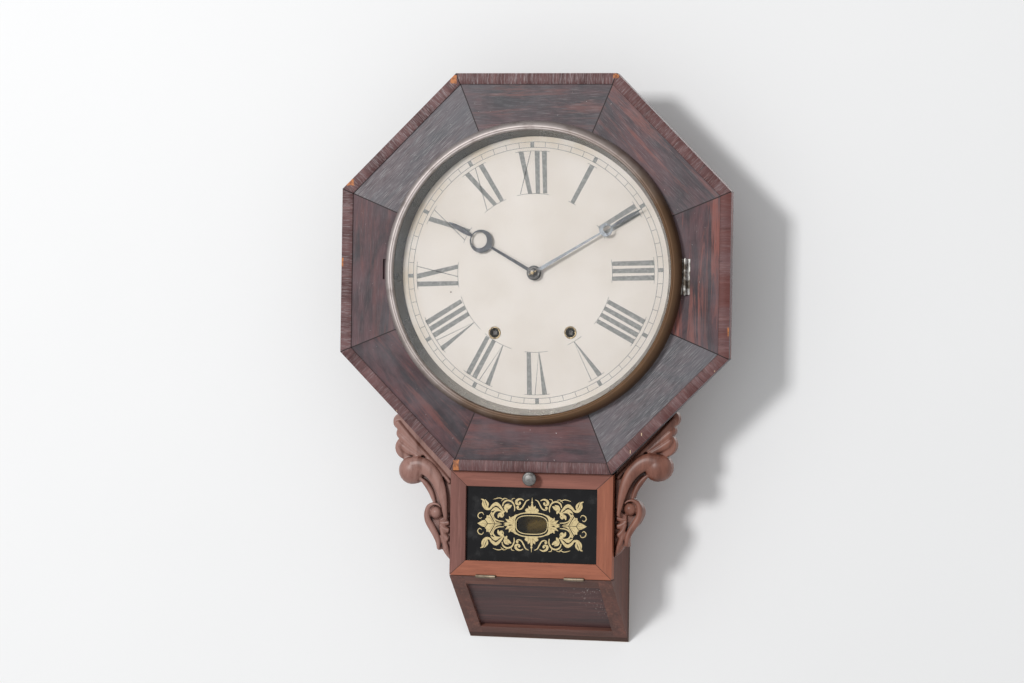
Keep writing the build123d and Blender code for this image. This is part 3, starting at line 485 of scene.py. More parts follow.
def cone_finish():
    """The reflector's dulled metal, with painted reflections that make it darker at the left, the
    top and the right than below.
    """
    finish = Finish("reflector_metal", Metallic=1.0)
    cloud = finish.noise(30, detail=5)
    side = finish.sum("ABSOLUTE", finish.x)
    # Painted reflections: dark grey at the sides, darker at the top, brown at the right
    finish.ground((0.40, 0.395, 0.38), (0.115, 0.128, 0.142), side, 0.05, 0.145)
    finish.layer((0.075, 0.084, 0.090), finish.z, 0.03, 0.13)
    finish.layer((0.21, 0.175, 0.145), finish.x, 0.04, 0.14, 0.6)
    finish.layer((0.10, 0.09, 0.08), cloud, 0.45, 0.75, 0.4)
    finish.rough(cloud, 0.2, 0.36)
    return finish.done()


# Paint, glass and gold
def dial_finish():
    """Cream paint, browned in patches towards its rim and most at the upper left."""
    finish = Finish("aged_dial_paint", Specular_IOR_Level=0.35)
    cloud = finish.noise(14, detail=6, roughness=0.6)
    freckle = finish.noise(420, detail=3)
    upper_left = finish.between(finish.minus(finish.z, finish.x), -0.02, 0.12)
    stain = finish.between(finish.noise(22, detail=4), 0.36, 0.62)
    stain = finish.times(stain, finish.plus(finish.times(upper_left, 0.5), 0.2))
    finish.ground((0.90, 0.83, 0.76), (0.83, 0.755, 0.675), cloud, 0.35, 0.68)
    finish.layer((0.60, 0.52, 0.42), freckle, 0.72, 0.80)
    finish.layer((0.74, 0.61, 0.45), finish.reach(), 0.126, 0.146, stain)
    bare_spots(finish, DIAL_SPECKS, (0.20, 0.16, 0.13))
    finish.rough(cloud, 0.42, 0.6)
    finish.bump(freckle, 0.05, 0.0001)
    return finish.done()


def ink_finish():
    finish = Finish("dial_ink", Specular_IOR_Level=0.2)
    worn = finish.noise(300, detail=6, roughness=0.7)
    finish.ground((0.27, 0.275, 0.265), (0.45, 0.44, 0.42), worn, 0.42, 0.70)
    finish.rough(worn, 0.45, 0.7)
    return finish.done()


def glass_finish():
    """Old glass that lets light through to the dial."""
    finish = Finish("old_window_glass", Roughness=0.0, IOR=1.45, Transmission_Weight=1.0)
    finish.bump(finish.noise(9, detail=1), 0.04, 0.001)
    paths = finish.add("ShaderNodeLightPath").outputs
    light = finish.sum("MAXIMUM", paths["Is Shadow Ray"], paths["Is Diffuse Ray"])
    clear = finish.add("ShaderNodeBsdfTransparent").outputs[0]
    return finish.done(finish.mixed(light, finish.shader.outputs[0], clear))


def tablet_finish():
    """Black painted glass with a clear window left in its middle."""
    finish = Finish("tablet_black", Roughness=0.12, Specular_IOR_Level=0.22)
    far = 0.0
    for place, middle, half in zip((finish.x, finish.z), TABLET_MIDDLE, WINDOW_HALF):
        side = finish.sum("DIVIDE", finish.minus(place, middle * MM), half * MM)
        far = finish.plus(finish.sum("POWER", finish.sum("ABSOLUTE", side), 3.0), far)
    dust = finish.noise(55, detail=7, roughness=0.65)
    finish.ground((0.006, 0.006, 0.007), (0.040, 0.040, 0.040), dust, 0.50, 0.80)
    pane = finish.add("ShaderNodeBsdfTransparent", Color=(0.58, 0.55, 0.46)).outputs[0]
    gloss = finish.add("ShaderNodeBsdfGlossy", Roughness=0.08).outputs[0]
    window = finish.mixed(0.03, pane, gloss)
    painted = finish.between(far, 0.95, 1.0)
    return finish.done(finish.mixed(painted, window, finish.shader.outputs[0]))


def gold_leaf_finish():
    finish = Finish("gold_leaf", Metallic=0.35, Specular_IOR_Level=0.4)
    worn = finish.noise(420, detail=5, roughness=0.7)
    finish.ground((0.56, 0.45, 0.235), (0.34, 0.26, 0.13), worn, 0.45, 0.72)
    finish.rough(worn, 0.38, 0.6)
    return finish.done()


bronze = ring_finish()
cone_brass = cone_finish()
carved = carved_finish()
ink = ink_finish()
gold_leaf = gold_leaf_finish()
brass = metal_finish("movement_brass", (0.72, 0.52, 0.24), (0.42, 0.28, 0.12), 0.22, 0.48)
bob_brass = metal_finish("bob_brass", (0.62, 0.50, 0.27), (0.40, 0.30, 0.15), 0.3, 0.5)
old_brass = metal_finish(
    "old_brass", (0.30, 0.23, 0.13), (0.14, 0.10, 0.06), 0.35, 0.55, spread=300
)
hinge_brass = metal_finish("hinge_brass", (0.26, 0.21, 0.155), (0.12, 0.095, 0.07), 0.35, 0.6)
hinge_steel = metal_finish(
    "sash_hinge_metal", (0.42, 0.41, 0.39), (0.09, 0.075, 0.06), 0.3, 0.6, (0.38, 0.6), 150
)
steel = metal_finish("bright_steel", (0.50, 0.50, 0.50), (0.26, 0.24, 0.22), 0.25, 0.5)
dark_steel = metal_finish("blued_spring", (0.10, 0.11, 0.16), (0.06, 0.055, 0.06), 0.25, 0.4)
arbor_steel = metal_finish(
    "winding_square_steel", (0.075, 0.072, 0.068), (0.04, 0.036, 0.032), 0.4, 0.6
)
blued = metal_finish(
    "blued_hand_steel", (0.042, 0.044, 0.049), (0.085, 0.083, 0.080), 0.32, 0.5, (0.5, 0.75), 160
)
boss_steel = metal_finish(
    "hand_boss_steel", (0.085, 0.082, 0.078), (0.045, 0.042, 0.04), 0.3, 0.5, spread=300
)
iron = metal_finish("cast_iron", (0.09, 0.09, 0.09), (0.05, 0.045, 0.04), 0.5, 0.75)
pewter = metal_finish(
    "pewter_knob", (0.20, 0.195, 0.19), (0.11, 0.105, 0.10), 0.42, 0.6, spread=240
)
rail_wood = door_finish("door_rail_mahogany", "X", "Z", -0.25, -0.23, (0.80, 0.90, 1.15))
stile_wood = door_finish("door_stile_mahogany", "Z", "X", 0.02, -0.02, (0.60, 0.74, 1.05))
case_wood = board_finish("case_wood", CASE_TONES, "Y")
side_wood = board_finish("drop_side_mahogany", MAHOGANY_DARK, "Z")

FRAME_SIDES = ("top", "upper_right", "right", "lower_right")
FRAME_SIDES += ("bottom", "lower_left", "left", "upper_left")
NODE_FINISHES = (
    (veneer_finish(), *(f"frame_{side}" for side in FRAME_SIDES)),
    (band_finish(), "edge_bands"),
    (case_wood, "case_boards", "stop_strip", "movement_blocks", "tablet_beads"),
    (back_finish(), "back_board"),
    (side_wood, "drop_side_left", "drop_side_right"),
    (slope_finish(), "slope_frame"),
    (panel_finish(), "slope_panel"),
    (rail_wood, "door_rails"),
    (stile_wood, "door_stiles"),
    (carved, "ear_left", "ear_right"),
    (steel, "hanger_plate", "sash_catch", "latch_tongue", "plate_pillars"),
    (steel, "verge", "pendulum_rod", "strike_hammer", "gong_coil"),
    (dark_steel, "mainsprings"),
    (iron, "gong_block"),
    (brass, "back_plate", "front_plate", "motion_wheel", "hour_wheel", "escape_wheel"),
    (brass, "rating_nut"),
    (old_brass, "centre_arbor"),
    (arbor_steel, "time_winding_arbor", "strike_winding_arbor"),
    (bob_brass, "pendulum_bob"),
    (hinge_steel, "frame_hinge_leaf", "sash_hinge_leaf"),
    (hinge_brass, "door_hinge_leaves", "drop_hinge_leaves"),
    (bronze, "sash_ring"),
    (cone_brass, "sash_cone"),
    (glass_finish(), "sash_glass"),
    (tablet_finish(), "tablet_glass"),
    (dial_finish(), "dial_plate"),
    (blued, "hour_hand"),
    (minute_finish(), "minute_hand"),
    (pewter, "door_knob"),
)
for material, *node_names in NODE_FINISHES:
    for node_name in node_names:
        node_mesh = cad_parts[node_name].data
        node_mesh.materials.clear()
        node_mesh.materials.append(material)


# Making meshes
def linked(name, data):
    """An object in the scene for a mesh, a lamp or a camera."""
    thing = bpy.data.objects.new(name, data)
    bpy.context.scene.collection.objects.link(thing)
    return thing


def worked_out(carrier):
    """The mesh that an object's modifiers make. The object itself goes."""
    seen = carrier.evaluated_get(bpy.context.evaluated_depsgraph_get())
    mesh = bpy.data.meshes.new_from_object(seen)
    bpy.data.objects.remove(carrier)
    return mesh


def made(name, mesh, material, body, replaced=()):
    """A finished piece, in millimetres until here, that rides on one of the clock's bodies."""
    shape = bmesh.new()
    shape.from_mesh(mesh)
    bmesh.ops.remove_doubles(shape, verts=shape.verts, dist=0.0005)
    bmesh.ops.recalc_face_normals(shape, faces=shape.faces)
    bmesh.ops.scale(shape, vec=(MM, MM, MM), verts=shape.verts)
    shape.to_mesh(mesh)
    shape.free()
    mesh.materials.clear()
    mesh.materials.append(material)
    mesh.shade_smooth()
    mesh.set_sharp_from_angle(angle=radians(38))
    piece = linked(name, mesh)
    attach(piece, body)
    if replaced:
        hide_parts(*replaced)
    return piece


def joined(*parts):
    """One mesh of several lists of points and faces."""
    points = []
    faces = []
    for more_points, more_faces in parts:
        start = len(points)
        points += more_points
        faces += [[start + corner for corner in face] for face in more_faces]
    mesh = bpy.data.meshes.new("joined")
    mesh.from_pydata(points, [], faces)
    mesh.validate()
    return mesh


def net(rows, steps, closed):
    """Faces between rows of points, each row a ring, and back to the first row if closed."""
    faces = []
    for row in range(rows if closed else rows - 1):
        here, after = row * steps, (row + 1) % rows * steps
        for step in range(steps):
            beside = (step + 1) % steps
            faces.append((here + step, here + beside, after + beside, after + step))
    return faces


def turned(profile, at=(0.0, 0.0), steps=160):
    """A closed profile of radius and y, turned about an axis along Y."""
    points = []
    for radius, y in profile:
        for step in range(steps):
            angle = 2 * pi * step / steps
            points.append((at[0] + radius * sin(angle), y, at[1] + radius * cos(angle)))
    return points, net(len(profile), steps, True)


def slab(outline, front, back):
    """A flat outline of x and z, between two planes."""
    count = len(outline)
    points = [(x, front, z) for x, z in outline] + [(x, back, z) for x, z in outline]
    faces = [list(range(count)), list(range(2 * count - 1, count - 1, -1))]
    for corner in range(count):
        beside = (corner + 1) % count
        faces.append((corner, count + corner, count + beside, beside))
    return points, faces


def strip(line, widths, front, back):
    """A flat ribbon along a line of x and z, with a width at each point."""
    points = []
    for number, (x, z) in enumerate(line):
        before = line[max(number - 1, 0)]
        after = line[min(number + 1, len(line) - 1)]
        along = Vector((after[0] - before[0], after[1] - before[1])).normalized()
        half = widths[number] / 2
        for way in (1, -1):
            side_x, side_z = x - way * along.y * half, z + way * along.x * half
            points += [(side_x, front, side_z), (side_x, back, side_z)]
    faces = []
    for number in range(len(line) - 1):
        a = 4 * number
        b = a + 4
        faces += [
            (a, b, b + 2, a + 2),
            (a + 1, a + 3, b + 3, b + 1),
            (a, a + 1, b + 1, b),
            (a + 2, b + 2, b + 3, a + 3),
        ]
    last = 4 * (len(line) - 1)
    faces += [(0, 2, 3, 1), (last, last + 1, last + 3, last + 2)]
    return points, faces


def curve_points(marks, steps=10):
    """A smooth line through the marks."""
    line = []
    for number in range(len(marks) - 1):
        around = [marks[min(max(number + shift, 0), len(marks) - 1)] for shift in (-1, 0, 1, 2)]
        for step in range(steps):
            t = step / steps
            weights = (
                -0.5 * t + t * t - 0.5 * t**3,
                1 - 2.5 * t * t + 1.5 * t**3,
                0.5 * t + 2 * t * t - 1.5 * t**3,
                -0.5 * t * t + 0.5 * t**3,
            )
            line.append(
                tuple(sum(w * part for w, part in zip(weights, parts)) for parts in zip(*around))
            )
    line.append(tuple(marks[-1]))
    return line


def tube(marks, sizes, flatness=1.0, sides=14, steps=8):
    """A bar through marks of x, y and z, with a radius at each mark and closed, rounded ends."""
    line = curve_points([(*mark, size) for mark, size in zip(marks, sizes)], steps)
    points = []
    for number, (x, y, z, size) in enumerate(line):
        before = Vector(line[max(number - 1, 0)][:3])
        after = Vector(line[min(number + 1, len(line) - 1)][:3])
        along = (after - before).normalized()
        side = along.cross(Vector((0, 1, 0))).normalized()
        up = side.cross(along)
        for step in range(sides):
            angle = 2 * pi * step / sides
            spot = Vector((x, y, z)) + size * (cos(angle) * side + flatness * sin(angle) * up)
            points.append(tuple(spot))
    faces = net(len(line), sides, False)
    for start, end, turn in ((0, 1, 1), (len(line) - 1, len(line) - 2, -1)):
        tip = Vector(line[start][:3])
        away = (tip - Vector(line[end][:3])).normalized()
        points.append(tuple(tip + away * line[start][3] * 0.6))
        for step in range(sides):
            beside = (step + 1) % sides
            face = (start * sides + step, len(points) - 1, start * sides + beside)
            faces.append(face if turn < 0 else face[::-1])
    return points, faces


def polar(radius, angle):
    """A point at an angle clockwise from twelve o'clock, in degrees."""
    return (radius * sin(radians(angle)), radius * cos(radians(angle)))


def oval(at, half_x, half_z, step, count):
    """Points on an oval, from its right side upwards."""
    turns = [number * step for number in range(count)]
    return [(at[0] + half_x * cos(turn), at[1] + half_z * sin(turn)) for turn in turns]


# Sash
def sash_ring():
    profile = [(RING_R, -104.4), (RING_R - 0.2, -109.0), (163.5, -111.8), (162.8, -114.2)]
    profile += [(161.7, -116.4), (160.3, -118.3), (158.8, -119.6), (157.5, -120.2)]
    profile += [(156.8, -120.1), (156.4, -119.5), (156.0, -119.4), (155.6, -119.9)]
    profile += [(154.9, -120.0), (154.2, -119.6), (153.7, -118.8), (153.4, -117.6)]
    profile += [(153.2, -116.4), (153.2, -115.5), (160.4, -115.5), (162.4, -104.4)]
    mesh = joined(turned(profile, steps=256))
    return made("sash_bezel", mesh, bronze, "sash", ["sash_ring"])


def sash_cone():
    profile = [(153.4, -113.3), (154.3, -113.3), (154.1, -111.0), (148.3, -97.9)]
    profile += [(147.9, -97.4), (147.4, -97.6), (147.6, -98.4), (153.2, -111.6)]
    mesh = joined(turned(profile, steps=256))
    return made("sash_reflector", mesh, cone_brass, "sash", ["sash_cone"])


# Dial
LETTER_WIDTHS = {"I": 8.0, "V": 16.5, "X": 18.5}


def numeral_strokes(word):
    """Left and right of each stroke at its foot and at its top, for a Roman numeral."""
    total = sum(LETTER_WIDTHS[letter] for letter in word)
    start = -total / 2
    strokes = []
    for letter in word:
        middle = start + LETTER_WIDTHS[letter] / 2
        foot = THICK / 2 - 0.45
        if letter == "I":
            strokes.append((middle - foot, middle + foot, middle - THICK / 2, middle + THICK / 2))
        elif letter == "V":
            tip = middle + 1.0
            strokes.append((tip - 0.5, tip + 0.3, middle - 7.4, middle - 7.4 + THICK))
            strokes.append((tip, tip + 0.3, middle + 5.6, middle + 5.6 + THIN))
        else:
            left = middle - 7.6
            strokes.append((middle + 7.0 - 2 * foot, middle + 7.0, left, left + THICK))
            strokes.append((middle - 6.6, middle - 6.6 + THIN, middle + 5.8, middle + 5.8 + THIN))
        start += LETTER_WIDTHS[letter]
    return strokes, total


def dial_numerals():
    parts = []
    front = DIAL_Y - 0.06
    back = DIAL_Y + PRINT_DEPTH
    reaches = (NUMERAL_IN_R, NUMERAL_IN_R, NUMERAL_OUT_R, NUMERAL_OUT_R)
    for number, word in enumerate(NUMERALS):
        turn = 30 * number - PRINT_TURN
        across = Vector(polar(1.0, turn + 90))
        up = Vector(polar(1.0, turn))
        strokes, total = numeral_strokes(word)
        for low_a, low_b, high_a, high_b in strokes:
            sides = zip((low_a, low_b, high_b, high_a), reaches)
            corners = [tuple(across * side + up * reach) for side, reach in sides]
            parts.append(slab(corners, front, back))
        for reach, margin in ((NUMERAL_IN_R, 1.6), (NUMERAL_OUT_R, 3.0)):
            half = degrees((total / 2 - 1.0 + margin) / reach)
            line = [polar(reach + 0.2, turn + half * step / 8) for step in range(-8, 9)]
            parts.append(strip(line, [0.55] * len(line), front, back))
    return made("dial_numerals", joined(*parts), ink, "case")


def track_tree():
    """A tree that sets marks round a circle, and the identifiers of its inputs."""
    tree = bpy.data.node_groups.new("minute_marks", "GeometryNodeTree")
    face = tree.interface
    face.new_socket("Geometry", in_out="OUTPUT", socket_type="NodeSocketGeometry")
    names = {}
    for title, kind, value in (
        ("Count", "Int", 60),
        ("Radius", "Float", (TRACK_IN_R + TRACK_OUT_R) / 2),
        ("Mark size", "Vector", (0.7, 0.08, 6.0)),
        ("Depth", "Float", DIAL_Y - PRINT_DEPTH),
        ("Turn", "Float", 0.0),
        ("Ink", "Material", None),
    ):
        socket = face.new_socket(title, in_out="INPUT", socket_type="NodeSocket" + kind)
        names[title] = socket.identifier
        if value is not None:
            socket.default_value = value
    nodes = Nodes(tree)
    given = nodes.add("NodeGroupInput").outputs
    line = nodes.add("GeometryNodeMeshLine", Count=given["Count"], Offset=(0, 0, 0)).outputs[0]
    share = nodes.sum("DIVIDE", nodes.add("GeometryNodeInputIndex").outputs[0], given["Count"])
    angle = nodes.plus(nodes.times(share, 2 * pi), given["Turn"])
    top = nodes.together(0.0, given["Depth"], given["Radius"])
    spin = nodes.add("ShaderNodeVectorRotate", {"rotation_type": "Y_AXIS"}, Vector=top, Angle=angle)
    ring = nodes.add("GeometryNodeSetPosition", Geometry=line, Position=spin.outputs[0]).outputs[0]
    copies = nodes.add(
        "GeometryNodeInstanceOnPoints",
        Points=ring,
        Instance=nodes.add("GeometryNodeMeshCube", Size=given["Mark size"]).outputs[0],
        Rotation=nodes.together(0.0, angle, 0.0),
    ).outputs[0]
    real = nodes.add("GeometryNodeRealizeInstances", Geometry=copies).outputs[0]
    painted = nodes.add("GeometryNodeSetMaterial", Geometry=real, Material=given["Ink"]).outputs[0]
    nodes.add("NodeGroupOutput", Geometry=painted)
    return tree, names


def marks_mesh(tree, names, **values):
    """The tree's result as a plain mesh, with its inputs set by their identifiers."""
    carrier = linked("marks", bpy.data.meshes.new("marks"))
    maker = carrier.modifiers.new("marks", "NODES")
    maker.node_group = tree
    for title, value in values.items():
        maker[names[title.replace("_", " ")]] = value
    return worked_out(carrier)


def minute_track():
    tree, names = track_tree()
    turn = -radians(PRINT_TURN)
    for name, count, size in (
        ("minute_marks", 60, (0.6, 0.08, 6.0)),
        ("five_minute_blocks", 12, (4.2, 0.1, 6.2)),
    ):
        marks = marks_mesh(tree, names, Count=count, Mark_size=size, Turn=turn, Ink=ink)
        made(name, marks, ink, "case")
    rings = []
    front, back = DIAL_Y - 0.05, DIAL_Y + PRINT_DEPTH
    for radius in (TRACK_IN_R, TRACK_OUT_R):
        outer, inner = radius + 0.3, radius - 0.3
        rings.append(
            turned([(outer, back), (outer, front), (inner, front), (inner, back)], steps=180)
        )
    made("track_circles", joined(*rings), ink, "case")


def grommets():
    profile = [(-0.1, 1.6), (-0.1, -0.5), (0.1, -0.75), (1.0, -0.8)]
    profile += [(1.5, -0.3), (1.6, 0.0), (0.0, 0.1), (0.0, 1.6)]
    profile = [(KEY_HOLE_R + radius, DIAL_Y + y) for radius, y in profile]
    parts = [turned(profile, place, 48) for place in KEY_HOLES]
    return made("winding_hole_grommets", joined(*parts), old_brass, "case")


def small_screws(name, places, front, radius, height=0.9):
    """Round-headed screws with a slot across each head."""
    heights = [(cos(radians(a)), sin(radians(a))) for a in range(0, 90, 10)]
    profile = [(0.02, front)]
    profile += [(radius * level, front - height * rise) for level, rise in heights]
    profile.append((0.02, front - height))
    parts = []
    for number, (x, z) in enumerate(places):
        parts.append(turned(profile, (x, z), 24))
        turn = radians(25 + 63 * number)
        wide, tall = cos(turn) * radius * 0.9, sin(turn) * radius * 0.9
        line = [(x - wide, z - tall), (x + wide, z + tall)]
        parts.append(strip(line, [radius * 0.22] * 2, front - height - 0.02, front - height * 0.6))
    return made(name, joined(*parts), steel, "case")


# Hands
def hand_collet():
    back = DIAL_Y - 7.3
    profile = [(1.66, back), (4.6, back), (4.6, back - 0.35), (3.9, back - 0.9)]
    profile += [(3.2, back - 1.1), (1.66, back - 1.1)]
    return made("hand_washer", joined(turned(profile, steps=64)), boss_steel, "minute")


def taper_pin():
    y = DIAL_Y - 9.1
    pin = tube([(-3.9, y, -2.3), (0, y, 0), (4.1, y, 2.4)], (0.35, 0.5, 0.62), steps=3)
    return made("taper_pin", joined(pin), old_brass, "minute")


# Carved ears. Each place is out from the drop side and up from the octagon's bottom.
# Domes, each with its middle, radius, base and height
EAR_DOMES = (
    (EAR_HEAD_AT, EAR_HEAD_R - 0.2, -84.0, 13.0),
    (EAR_EYE_AT, EAR_EYE_R, -83.0, 12.8),
)
# Rounded bands, each with the plane of its top and then places with half its width there
EAR_BANDS = (
    # The ribbon from the big scroll down to the drop side
    (-96.4, (46, 11.6, 10.8), (37, 13.6, 9.4), (27.4, 9.6, 8.4), (18.4, 0.2, 7.2),
     (12.0, -12.6, 5.6), (8.2, -28, 3.8), (5.8, -45, 1.8)),
    # The narrow leaf under the ribbon
    (-91.6, (36.5, -0.6, 1.6), (31, -5.5, 3.0), (25.5, -13, 3.2), (21.5, -22, 2.4),
     (19.2, -29, 1.2)),
    # The band that wraps the lower eye and runs down the tail
    (-93.6, (12.0, -31.5, 0.9), (15.4, -28.8, 1.2), (20.5, -28.0, 1.7), (25.8, -31.0, 2.6),
     (28.0, -37.8, 3.3), (27.2, -45.5, 3.7), (23.2, -53.0, 3.9), (18.6, -60.5, 3.7),
     (15.0, -69.0, 3.0), (14.4, -77.0, 1.6)),
    # The ridge beside the octagon's edge
    (-90.6, (3.0, -4.5, 2.2), (18, 11.5, 2.6), (36, 30.0, 2.6), (52, 47.0, 2.6),
     (63.4, 60.0, 2.8)),
    # The leaf's lobes
    (-90.4, (34, 26.0, 1.8), (46, 38.0, 3.0), (58, 51.0, 4.2), (64.6, 58.6, 2.8)),
    (-90.8, (35, 24.5, 2.0), (46, 33.4, 4.2), (56, 41.8, 5.4), (61.4, 47.0, 3.0)),
    (-91.2, (38, 23.0, 2.0), (48, 28.0, 4.4), (56.5, 33.6, 5.0), (61.0, 38.0, 2.6)),
    # The tail's lobes
    (-90.6, (13.6, -46.0, 1.4), (8.6, -43.6, 2.6), (3.4, -39.6, 2.8)),
    (-91.0, (13.8, -48.4, 1.4), (8.4, -49.0, 3.0), (3.2, -47.6, 3.0)),
    (-91.2, (13.8, -51.0, 1.6), (8.8, -55.0, 3.2), (3.4, -57.0, 3.2)),
    (-91.2, (13.0, -54.0, 1.8), (9.4, -62.0, 3.4), (4.6, -67.0, 3.4)),
    (-90.8, (11.6, -60.0, 1.8), (9.0, -70.0, 3.4), (6.0, -77.4, 2.8)),
    (-90.4, (8.0, -68.0, 1.6), (5.0, -78.0, 2.8), (2.2, -86.6, 1.4)),
)
EAR_VOXEL = 0.6
EAR_DOOR_GAP = 0.9
EAR_DOOR_GAP_Y = -85.0


def arc_through(first, middle, last, steps=10):
    """Points on the circle through three points, without the first one."""
    (x1, z1), (x2, z2), (x3, z3) = first, middle, last
    d = 2 * (x1 * (z2 - z3) + x2 * (z3 - z1) + x3 * (z1 - z2))
    s1, s2, s3 = x1 * x1 + z1 * z1, x2 * x2 + z2 * z2, x3 * x3 + z3 * z3
    cx = (s1 * (z2 - z3) + s2 * (z3 - z1) + s3 * (z1 - z2)) / d
    cz = (s1 * (x3 - x2) + s2 * (x1 - x3) + s3 * (x2 - x1)) / d
    radius = hypot(x1 - cx, z1 - cz)
    start, half, end = (atan2(z - cz, x - cx) for x, z in (first, middle, last))
    sweep = (end - start) % (2 * pi)
    if (half - start) % (2 * pi) > sweep:
        sweep -= 2 * pi
    turns = [start + sweep * step / steps for step in range(1, steps + 1)]
    return [(cx + radius * cos(turn), cz + radius * sin(turn)) for turn in turns]


def ear_outline():
    """The outline that the CAD ear has."""
    head = []
    for angle in (52, -35, -122):
        turn = radians(angle)
        head.append(tuple(at + EAR_HEAD_R * way(turn) for at, way in zip(EAR_HEAD_AT, (cos, sin))))
    line = [(0, 12), (56, 68)]
    for straight, curves in (
        (
            (35, -2.2),
            (
                ((65.5, 67.8), (68.8, 61.5)),
                ((67.8, 56), (63.5, 52.6)),
                ((65.2, 48), (62, 42)),
                ((66.2, 33.5), head[0]),
                (head[1], head[2]),
            ),
        ),
        (
            (11, -77.6),
            (
                ((26.4, -12.8), (20.7, -27)),
                ((30.8, -36), (30.2, -47)),
                ((26.2, -54), (19, -60.5)),
                ((15.9, -69), (16.2, -78.8)),
            ),
        ),
    ):
        for middle, end in curves:
            line += arc_through(line[-1], middle, end)
        line.append(straight)
    return line + arc_through(line[-1], (6.4, -84.6), (0, -90.5))


def swelling(at, radius, base_y, height, steps=56):
    """A closed, full dome that bulges to the front."""
    profile = [(0.02, base_y)]
    for number in range(13):
        angle = radians(90 * number / 12)
        profile.append((max(radius * cos(angle), 0.02), base_y - height * sin(angle) ** 0.85))
    return turned(profile, at, steps)


def carved_ear():
    """The right ear's mesh: a sawn slab with its scrolls, ribbon and leaf lobes in relief."""
    parts = [slab(ear_outline(), EAR_SLAB_Y, EAR_BACK_Y)]
    parts += [swelling(*dome) for dome in EAR_DOMES]
    for front, *marks in EAR_BANDS:
        flatness = 0.95 if marks[0][2] < 5 else 0.55
        centres = [(out, front + half * flatness, up) for out, up, half in marks]
        parts.append(tube(centres, [half for _, _, half in marks], flatness, sides=18, steps=8))
    raw = joined(*parts)
    shape = bmesh.new()
    shape.from_mesh(raw)
    bmesh.ops.recalc_face_normals(shape, faces=shape.faces)
    shape.to_mesh(raw)
    shape.free()
    carrier = linked("ear", raw)
    remesh = carrier.modifiers.new("remesh", "REMESH")
    remesh.mode = "VOXEL"
    remesh.voxel_size = EAR_VOXEL
    remesh.adaptivity = 0.0
    smooth = carrier.modifiers.new("smooth", "SMOOTH")
    smooth.factor = 0.5
    smooth.iterations = 5
    return worked_out(carrier)


def keep_clear(mesh):
    """Keeps the carving behind the frame's back and off the door's side."""
    for vertex in mesh.vertices:
        out, y, up = vertex.co
        if up > out - 1.0 and y < EAR_FRONT_Y:
            vertex.co.y = EAR_FRONT_Y
        if out < EAR_DOOR_GAP and y < EAR_DOOR_GAP_Y and up < 11:
            vertex.co.x = EAR_DOOR_GAP
        if out < 0.05:
            vertex.co.x = 0.05


def ears():
    shape = carved_ear()
    keep_clear(shape)
    for side, name, node, drop in (
        (1, "carved_ear_right", "ear_right", 0.0),
        (-1, "carved_ear_left", "ear_left", LEFT_EAR_DROP),
    ):
        mesh = shape.copy()
        for vertex in mesh.vertices:
            out, y, up = vertex.co
            vertex.co = (side * (DOOR_HALF_W + out), y, up - OCTAGON_R - drop)
        piece = made(name, mesh, carved, "case", [node])
        piece.data.set_sharp_from_angle(angle=pi)


# Lower door
def knob():
    stem = [(0.05, 0.2), (4.6, 0.0), (4.9, -0.6), (4.3, -1.2)]
    stem += [(3.6, -2.6), (3.7, -5.2), (5.6, -7.9), (7.3, -8.9)]
    head = [(7.75, 3.6), (7.6, 2.6), (6.9, 1.7), (6.2, 1.3), (5.6, 1.25)]
    head += [(5.0, 0.8), (3.6, 0.35), (1.8, 0.08), (0.05, 0.0)]
    profile = [(radius, DOOR_Y + y) for radius, y in stem]
    profile += [(radius, KNOB_FRONT_Y + y) for radius, y in head]
    mesh = joined(turned(profile, KNOB_AT, 72))
    return made("pull_knob", mesh, pewter, "knob", ["door_knob"])


